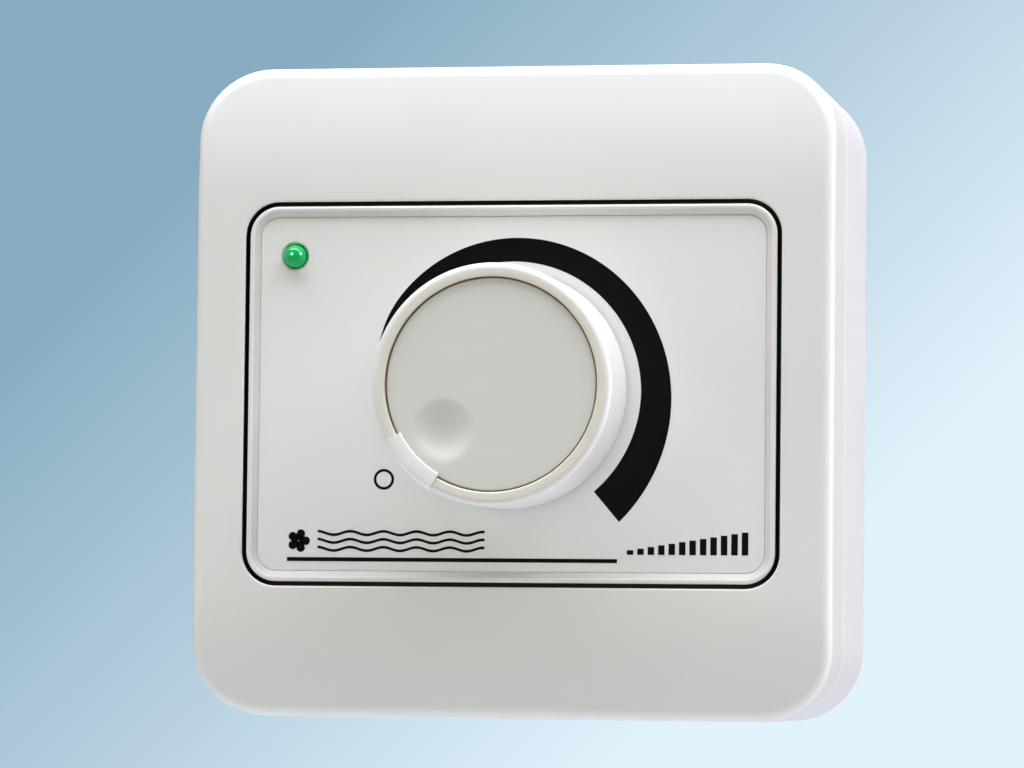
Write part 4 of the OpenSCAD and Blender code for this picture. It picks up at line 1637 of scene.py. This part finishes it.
@dataclass(frozen=True)
class Part:
    """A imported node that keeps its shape: its edges are rounded and it gets a finish."""

    node: str
    finish: Finish
    slot: str
    edge: float = 0.0001
    body: str = CONTROLLER

    def dress(self) -> None:
        """Rounds and dresses the part."""
        dress(softened(self.node, self.edge), self.finish, self.body, self.slot, self.node)


@dataclass
class SubAssembly:
    """A group of parts. The subclasses list them and add pieces of their own."""

    def parts(self) -> Sequence[Part]:
        """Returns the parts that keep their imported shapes."""
        return ()

    def dress(self) -> None:
        """Dresses every part."""
        for part in self.parts():
            part.dress()


@dataclass
class Potentiometer(SubAssembly):
    """The potentiometer: shaft, bushing, hardware, can, wafer, track, wiper and terminals."""

    edge: float = 0.00012
    thin: float = 0.00004

    def parts(self) -> Sequence[Part]:
        """Lists the parts.

        Returns:
            The parts.
        """
        return (
            Part("pot_shaft", SHAFT_STEEL, "bright_steel", self.edge, KNOB_GROUP),
            Part("pot_wiper", BRASS, "brass", self.thin, KNOB_GROUP),
            Part("pot_bushing", BRASS, "brass", self.thin),
            Part("pot_washers", BRIGHT_STEEL, "bright_steel", self.thin),
            Part("pot_nuts", BRIGHT_STEEL, "bright_steel", self.edge),
            Part("pot_housing", BRIGHT_STEEL, "bright_steel", self.edge),
            Part("pot_wafer", PHENOLIC, "phenolic", self.thin),
            Part("pot_track", CARBON, "carbon_track", self.thin / 2),
            Part("pot_terminals", TIN, "tinned_leads", self.thin))


@dataclass
class MainsSwitch(SubAssembly):
    """The rear switch: housing, cam, moving contact and terminals."""

    edge: float = 0.00012
    thin: float = 0.00004

    def parts(self) -> Sequence[Part]:
        """Lists the parts.

        Returns:
            The parts.
        """
        return (
            Part("switch_housing", BLACK_MOULDING, "black_plastic", self.edge),
            Part("switch_cam", IVORY_MOULDING, "ivory_plastic", self.edge, "switch_cam_body"),
            Part("switch_contact", BRASS, "brass", self.thin, "switch_contact_body"),
            Part("switch_terminals", TIN, "tinned_leads", self.thin))


@dataclass
class Carrier(SubAssembly):
    """The support plate with its screws, the spacers, the board's screws and the earth point."""

    edge: float = 0.00012

    def parts(self) -> Sequence[Part]:
        """Lists the parts.

        Returns:
            The parts.
        """
        return (
            Part("support_plate", PLATE_STEEL, "plate_steel", self.edge),
            Part("plate_screws", BRIGHT_STEEL, "bright_steel", self.edge),
            Part("board_spacers", BRASS, "bright_steel", self.edge),
            Part("board_screws", BRIGHT_STEEL, "bright_steel", self.edge),
            Part("earth_screw", EARTH_STEEL, "bright_steel", self.edge),
            Part("earth_clamp", BRASS, "brass", self.edge))


@dataclass
class PowerStage(SubAssembly):
    """The power semiconductor on the plate, and the ring choke with its separate turns."""

    edge: float = 0.00012
    thin: float = 0.00004
    body_edge: float = 0.0002
    core_edge: float = 0.0006
    turns: int = 26
    turn_steps: int = 40
    wire: float = 0.00042
    wire_sides: int = 10
    wire_clear: float = 0.00005
    flatness: float = 1.35
    gap_angle: float = 42.0
    core_wall: float = 0.0044
    tail_out: float = 0.00105
    tail_bend: tuple[float, float] = (0.0008, 0.001)
    core: NodeBox = field(default_factory=lambda: NodeBox.of("choke_core"))
    winding: NodeBox = field(default_factory=lambda: NodeBox.of("choke_winding"))

    def parts(self) -> Sequence[Part]:
        """Lists the parts.

        Returns:
            The parts.
        """
        return (
            Part("triac_body", BLACK_MOULDING, "black_plastic", self.body_edge),
            Part("triac_tab", TIN, "tinned_leads", self.thin),
            Part("thermal_pad", PAD_PINK, "pad_rubber", self.thin),
            Part("triac_screw", BRIGHT_STEEL, "bright_steel", self.edge),
            Part("triac_nut", BRIGHT_STEEL, "bright_steel", self.edge),
            Part("choke_core", CORE_YELLOW, "core_coating", self.core_edge))

    def build_winding(self) -> bpy.types.Object:
        """Builds the winding: one wire that runs round the core and down to the board.

        Returns:
            The winding.
        """
        x, z = self.core.middle.x, self.core.middle.z
        outer = self.core.size.x / 2
        inner = outer - self.core_wall
        middle, half = (outer + inner) / 2, (outer - inner) / 2 + self.wire + self.wire_clear
        depth = -self.core.middle.y
        half_depth = self.core.size.y / 2 + self.wire + self.wire_clear
        start = math.radians(-90 + self.gap_angle / 2)
        bend_out, bend_front = self.tail_bend
        shell = Shell()
        for side in (-1, 1):
            angle = -90 + side * self.gap_angle / 2
            path = [polar(outer + self.tail_out, angle, self.winding.back, (x, z)),
                    polar(outer + self.tail_out, angle, self.core.back, (x, z)),
                    polar(outer + bend_out, angle, self.core.back + bend_front, (x, z)),
                    polar(middle + half, angle, depth, (x, z))]
            row = shell.verts(path)
            for a, b in zip(row, row[1:]):
                shell.mesh.edges.new((a, b))
        data = bpy.data.meshes.new("choke_turns")
        shell.mesh.to_mesh(data)
        shell.mesh.free()
        recipe = Recipe("choke_turns", {
            "Turns": self.turns, "Steps": self.turn_steps, "Wire": self.wire, "Start": start,
            "Sweep": math.radians(360 - self.gap_angle), "Middle": middle, "Half": half,
            "Depth": depth, "Half Depth": half_depth})
        total = recipe.given("Turns") * recipe.given("Steps")
        share = recipe.node("GeometryNodeInputIndex") / total
        round_core = recipe.given("Start") + recipe.given("Sweep") * share
        turn = recipe.given("Turns") * share * (2 * math.pi)

        def squared(wave: Wire) -> Wire:
            """Flattens a wave's crests, so that the turn hugs the core's square section."""
            return (wave * self.flatness).below(1.0).above(-1.0)

        radius = recipe.given("Middle") + recipe.given("Half") * squared(turn.math("COSINE"))
        reach = recipe.given("Depth") + recipe.given("Half Depth") * squared(turn.math("SINE"))
        spiral = recipe.moved(recipe.line(total + 1), recipe.vector(
            x + radius * round_core.math("COSINE"), 0 - reach,
            z + radius * round_core.math("SINE")))
        both = recipe.node("GeometryNodeJoinGeometry")
        joined = both.socket.node
        recipe.tree.links.new(spiral.socket, joined.inputs[0])
        recipe.tree.links.new(recipe.given("Geometry").socket, joined.inputs[0])
        curve = recipe.node("GeometryNodeMeshToCurve", None, {0: both})
        profile = recipe.node("GeometryNodeCurvePrimitiveCircle", None,
                              {"Resolution": self.wire_sides, "Radius": recipe.given("Wire")})
        wire = recipe.node("GeometryNodeCurveToMesh", None,
                           {"Curve": curve, "Profile Curve": profile, "Fill Caps": True})
        return recipe.bake(wire, place("choke_turns", data), ENAMELLED_COPPER)

    def dress(self) -> None:
        """Dresses the parts and builds the winding."""
        super().dress()
        dress(self.build_winding(), ENAMELLED_COPPER, CONTROLLER, "enamelled_wire",
              "choke_winding")


@dataclass
class AxialParts(SubAssembly):
    """A column of equal axial parts, each with a body and two bent leads."""

    node: str = "resistors"
    piece: str = "resistor_set"
    slot: str = "resistor_body"
    colour: Colour = (0.52, 0.36, 0.18)
    count: int = 3
    body_radius: float = 0.00115
    waist: float = 0.00095
    cap_length: float = 0.0016
    length: float = 0.0063
    lead: float = 0.0003
    lead_end: float = 0.0001
    lead_sunk: float = 0.0002
    bend: float = 0.0007
    end_edge: float = 0.00045
    shoulder: float = 0.0004
    sides: int = 32
    bands: tuple[tuple[float, Colour], ...] = (
        (0.14, (0.10, 0.03, 0.01)), (0.32, (0.01, 0.01, 0.01)), (0.50, (0.55, 0.20, 0.0)),
        (0.78, (0.50, 0.36, 0.08)))

    def profile(self) -> list[tuple[float, float]]:
        """Works out the body's outline.

        Returns:
            The outline, as (place along the axis, radius) points.
        """
        half, big, small = self.length / 2, self.body_radius, self.waist
        edge = self.end_edge
        end = [(-half, self.lead * 1.02), *[(-half + edge - edge * math.cos(math.radians(a)),
                                             big - edge + edge * math.sin(math.radians(a)))
                                            for a in (0, 22, 45, 68, 90)]]
        end += [(-half + self.cap_length - self.shoulder, big), (-half + self.cap_length, small)]
        return end + [(-t, r) for t, r in reversed(end)]

    def build(self) -> bpy.types.Object:
        """Builds the column from copies of one part.

        Returns:
            The column.
        """
        box = NodeBox.of(self.node)
        board = NodeBox.of("circuit_board")
        x, axis = box.middle.x, box.front - self.body_radius
        top, low = box.high.z - self.body_radius, box.low.z + self.body_radius
        reach = box.size.x / 2 - self.lead - self.lead_end
        shell = Shell()
        turns = [2 * math.pi * i / self.sides for i in range(self.sides)]
        shell.bridge([[Vector((x + t, -axis + r * math.cos(a), r * math.sin(a))) for a in turns]
                      for t, r in self.profile()])
        for side in (-1, 1):
            run = [(self.length / 2 - self.lead_sunk, axis), (reach - self.bend, axis)]
            run += arc((reach - self.bend, axis - self.bend), self.bend, 90, 0)[1:]
            run += [(reach, board.front), (reach, box.back)]
            rings = []
            for i, (along, depth) in enumerate(run):
                before, after = run[max(i - 1, 0)], run[min(i + 1, len(run) - 1)]
                slope = math.atan2(after[1] - before[1], after[0] - before[0])
                ring = []
                for a in turns[::2]:
                    out = self.lead * math.cos(a)
                    ring.append(Vector((x + side * (along - out * math.sin(slope)),
                                        -(depth + out * math.cos(slope)),
                                        self.lead * math.sin(a))))
                rings.append(ring)
            rows = shell.bridge(rings)
            shell.cap(rows[0])
            shell.cap(rows[-1])
        piece = shell.finish(self.piece)
        step = (low - top) / (self.count - 1) if self.count > 1 else 0.0
        recipe = Recipe(self.piece, {"Count": self.count})
        column = recipe.line(recipe.given("Count"), (0.0, 0.0, step))
        start = recipe.node("GeometryNodeTransform", None,
                            {"Geometry": column, "Translation": (0.0, 0.0, top)})
        return recipe.bake(recipe.copies(start, recipe.given("Geometry")), piece, self.finish())

    def finish(self) -> Finish:
        """Makes the finish, which knows where the bodies end.

        Returns:
            The finish.
        """
        box, board = NodeBox.of(self.node), NodeBox.of("circuit_board")
        return LeadedPlastic(f"{self.piece}_skin", self.colour, 0.32, Texture.COARSE, 0.05,
                             centre_x=box.middle.x, half=self.length / 2, foot=board.front,
                             bands=self.bands)

    def dress(self) -> None:
        """Builds and dresses the column."""
        dress(self.build(), self.finish(), CONTROLLER, self.slot, self.node)


@dataclass
class BoardParts(SubAssembly):
    """The board, its capacitors, fuse, terminals, trimmer and lamp mount, and its joints."""

    edge: float = 0.00012
    board_edge: float = 0.00005
    case_edge: float = 0.0003
    glass_edge: float = 0.00002
    metal_edge: float = 0.00008
    clip_edge: float = 0.00006
    lead_edge: float = 0.00003
    joint_foot: float = 0.0012
    joint_neck: float = 0.0003
    joint_height: float = 0.001
    joint_sunk: float = 0.00001
    pin_reach: float = 0.0002
    pin_gap: float = 0.0012
    pin_nodes: tuple[str, ...] = (
        "pot_terminals", "switch_terminals", "triac_tab", "choke_winding", "led_leads",
        "suppression_capacitor", "timing_capacitor", "resistors", "diac")

    def parts(self) -> Sequence[Part]:
        """Lists the parts.

        Returns:
            The parts.
        """
        return (
            Part("circuit_board", BOARD_GREEN, "board", self.board_edge),
            Part("suppression_capacitor", CASE_YELLOW, "capacitor_case", self.case_edge),
            Part("timing_capacitor", CASE_RED, "film_case", self.case_edge),
            Part("fuse_glass", FUSE_GLASS, "fuse_glass", self.glass_edge),
            Part("fuse_caps", BRIGHT_STEEL, "bright_steel", self.metal_edge),
            Part("fuse_clips", BRASS, "brass", self.clip_edge),
            Part("terminal_block", TERMINAL_GREEN, "terminal_plastic", self.edge),
            Part("terminal_clamps", BRASS, "brass", self.metal_edge),
            Part("terminal_screws", BRIGHT_STEEL, "bright_steel", self.edge),
            Part("trimmer_body", TRIMMER_BLUE, "trimmer_plastic", self.edge),
            Part("trimmer_rotor", IVORY_MOULDING, "ivory_plastic", self.edge,
                 "trimmer_body_rotor"),
            Part("led_leads", TIN, "tinned_leads", self.lead_edge),
            Part("led_spacer", IVORY_MOULDING, "ivory_plastic", self.edge))

    def pins(self, board: NodeBox) -> list[Vector]:
        """Finds where the leads come out of the board's back.

        Args:
            board: The board's box.

        Returns:
            One point for each lead.
        """
        found: list[list[Vector]] = []
        for node in self.pin_nodes:
            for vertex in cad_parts[node].data.vertices:
                if -vertex.co.y > board.back - self.pin_reach:
                    continue
                flat = Vector((vertex.co.x, 0.0, vertex.co.z))
                near = [group for group in found if (group[0] - flat).length < self.pin_gap]
                if near:
                    near[0].append(flat)
                else:
                    found.append([flat])
        middles = [[(min(p[i] for p in group) + max(p[i] for p in group)) / 2 for i in (0, 2)]
                   for group in found]
        return [at(x, board.back, z) for x, z in middles]

    def build_joints(self) -> bpy.types.Object:
        """Builds the solder joints: a flared copy on every pin.

        Returns:
            The joints.
        """
        data = bpy.data.meshes.new("solder_joints")
        data.from_pydata(self.pins(NodeBox.of("circuit_board")), [], [])
        recipe = Recipe("solder_joints", {"Foot": self.joint_foot, "Neck": self.joint_neck,
                                          "Height": self.joint_height, "Seed": 7})
        blank = recipe.node("GeometryNodeMeshCylinder", None, {
            "Vertices": 20, "Side Segments": 6, "Radius": 1.0, "Depth": 1.0})
        here = recipe.node("GeometryNodeInputPosition")
        x, y, z = (recipe.node("ShaderNodeSeparateXYZ", None, {0: here}, out=i)
                   for i in range(3))
        left = 0.5 - z
        flare = recipe.given("Neck") + (recipe.given("Foot") - recipe.given("Neck")) * left * left
        joint = recipe.moved(blank, recipe.vector(
            x * flare, (z + 0.5) * recipe.given("Height") - self.joint_sunk, y * flare))
        size = recipe.node("FunctionNodeRandomValue", None,
                           {2: 0.85, 3: 1.1, "Seed": recipe.given("Seed")}, out=1)
        joints = recipe.copies(recipe.given("Geometry"), joint,
                               Scale=recipe.vector(size, size, size))
        flipped = recipe.node("GeometryNodeFlipFaces", None,
                              {0: recipe.node("GeometryNodeRealizeInstances", None, {0: joints})})
        return recipe.bake(flipped, place("solder_joints", data), SOLDER)

    def dress(self) -> None:
        """Dresses the parts and builds the joints."""
        super().dress()
        dress(self.build_joints(), SOLDER, CONTROLLER, "tinned_leads")


# ---- studio -------------------------------------------------------------------------------------


@dataclass
class Studio:
    """Camera, soft lights, sky and floor."""

    target: tuple[float, float, float] = (0.000355, -0.036, 0.000785)
    distance: float = 0.642
    side: float = 10.8
    below: float = 3.41
    roll: float = 0.64
    lens: float = 170.9
    lights_at: float = 0.03
    floor_half: float = 0.6
    floor_z: tuple[float, float] = (-0.16, -0.15)
    sky_slope: Colour = (0.971, 0.245, -0.998)
    sky_cast: float = 0.02

    def axes(self) -> tuple[Vector, Vector, Vector]:
        """Works out the picture's axes.

        Returns:
            The directions to the right, up and towards the camera.
        """
        side, below, roll = (math.radians(a) for a in (self.side, self.below, self.roll))
        away = Vector((math.sin(side) * math.cos(below), -math.cos(side) * math.cos(below),
                       -math.sin(below)))
        right = (-away).cross(Vector((0, 0, 1))).normalized()
        up = right.cross(-away)
        return (right * math.cos(roll) + up * math.sin(roll),
                up * math.cos(roll) - right * math.sin(roll), away)

    def camera(self) -> None:
        """Adds the camera to the right of the front, just below it."""
        axes = self.axes()
        away = axes[2]
        camera = bpy.data.cameras.new("camera")
        camera.lens = self.lens
        camera.clip_start = 0.01
        holder = bpy.data.objects.new("camera", camera)
        holder.matrix_world = (Matrix.Translation(Vector(self.target) + away * self.distance)
                               @ Matrix(axes).transposed().to_4x4())
        bpy.context.scene.collection.objects.link(holder)
        bpy.context.scene.camera = holder

    def softbox(self, name: str, place_at: tuple[float, float, float], size: tuple[float, float],
                power: float, colour: Colour) -> None:
        """Adds one area light that faces the controller.

        Args:
            name: The light's name.
            place_at: Its place.
            size: Its width and height.
            power: Its power in watts.
            colour: Its colour.
        """
        light = bpy.data.lights.new(name, "AREA")
        light.shape = "RECTANGLE"
        light.size, light.size_y = size
        light.energy = power
        light.color = colour
        holder = bpy.data.objects.new(name, light)
        aim = at(0.0, self.lights_at, 0.0) - Vector(place_at)
        holder.matrix_world = (Matrix.Translation(place_at)
                               @ aim.to_track_quat("-Z", "Y").to_matrix().to_4x4())
        bpy.context.scene.collection.objects.link(holder)

    def sky(self) -> None:
        """Fills the world with a pale-blue gradient, and a plain one for the light it casts."""
        world = bpy.data.worlds.new("studio")
        world.use_nodes = True
        bpy.context.scene.world = world
        graph = Graph(world.node_tree)
        ray = graph.node("ShaderNodeTexCoord", out="Generated")
        slant = graph.node("ShaderNodeVectorMath", {"operation": "DOT_PRODUCT"},
                           {0: ray, 1: self.sky_slope}, out="Value")
        stops = [(0.0, (0.246, 0.407, 0.533)), (0.5, (0.462, 0.624, 0.738)),
                 (1.0, (0.761, 0.896, 0.982))]
        ramp = graph.node("ShaderNodeValToRGB", {"stops": stops}, {0: 0.52 + slant * 4.63})
        seen = graph.node("ShaderNodeLightPath", out="Is Camera Ray")
        shown = graph.node("ShaderNodeBackground", None, {0: ramp, 1: 1.0})
        cast = graph.node("ShaderNodeBackground", None,
                          {0: (1.0, 1.0, 1.0, 1.0), 1: self.sky_cast})
        both = graph.node("ShaderNodeMixShader", None, {0: seen, 1: cast, 2: shown})
        graph.node("ShaderNodeOutputWorld", None, {0: both})

    def floor(self) -> None:
        """Adds a pale floor below the controller, which throws the light back up."""
        shell = Shell()
        half, (low, high) = self.floor_half, self.floor_z
        shell.prism([(-half, low), (half, low), (half, high), (-half, high)], -half, half)
        piece = shell.finish("studio_floor")
        piece.data.materials.append(
            MouldedPlastic("floor_pale", (0.72, 0.755, 0.785), 0.7, Texture.COARSE).material())

    def build(self) -> None:
        """Builds the whole studio."""
        scene = bpy.context.scene
        scene.view_settings.view_transform = "Standard"
        self.camera()
        self.sky()
        self.floor()
        for name, where, size, power, colour in (
                ("softbox_above", (0.0, -0.14, 0.55), (0.9, 0.25), 7.4, (0.88, 0.89, 1.0)),
                ("softbox_corner", (0.5, -0.16, 0.45), (0.5, 0.25), 2.0, (0.88, 1.0, 0.9)),
                ("softbox_left", (-0.8, -0.45, 0.1), (0.6, 0.6), 1.6, (1.0, 1.0, 0.72)),
                ("softbox_behind", (0.8, 0.12, 0.05), (0.4, 0.6), 3.1, (1.0, 0.83, 0.88)),
                ("softbox_front", (0.1, -1.3, 0.0), (1.0, 0.25), 1.2, (1.0, 0.7, 0.15))):
            self.softbox(name, where, size, power, colour)


def main() -> None:
    """Builds the studio and every sub-assembly in order."""
    logging.basicConfig(level=logging.INFO, format="%(message)s")
    Studio().build()
    diac = AxialParts(node="diac", piece="diac_bead", slot="diac_body",
                      colour=(0.015, 0.06, 0.30), count=1, body_radius=0.0009, waist=0.0009,
                      cap_length=0.0008, length=0.0038, bands=((0.12, (0.01, 0.01, 0.01)),))
    for part in (WallBox(), CoverFrame(), FrontPanel(), LabelPrint(), Knob(), StatusLamp(),
                 Potentiometer(), MainsSwitch(), Carrier(), PowerStage(), AxialParts(), diac,
                 BoardParts()):
        LOG.info("building %s", type(part).__name__)
        part.dress()


if __name__ == "__main__":
    main()
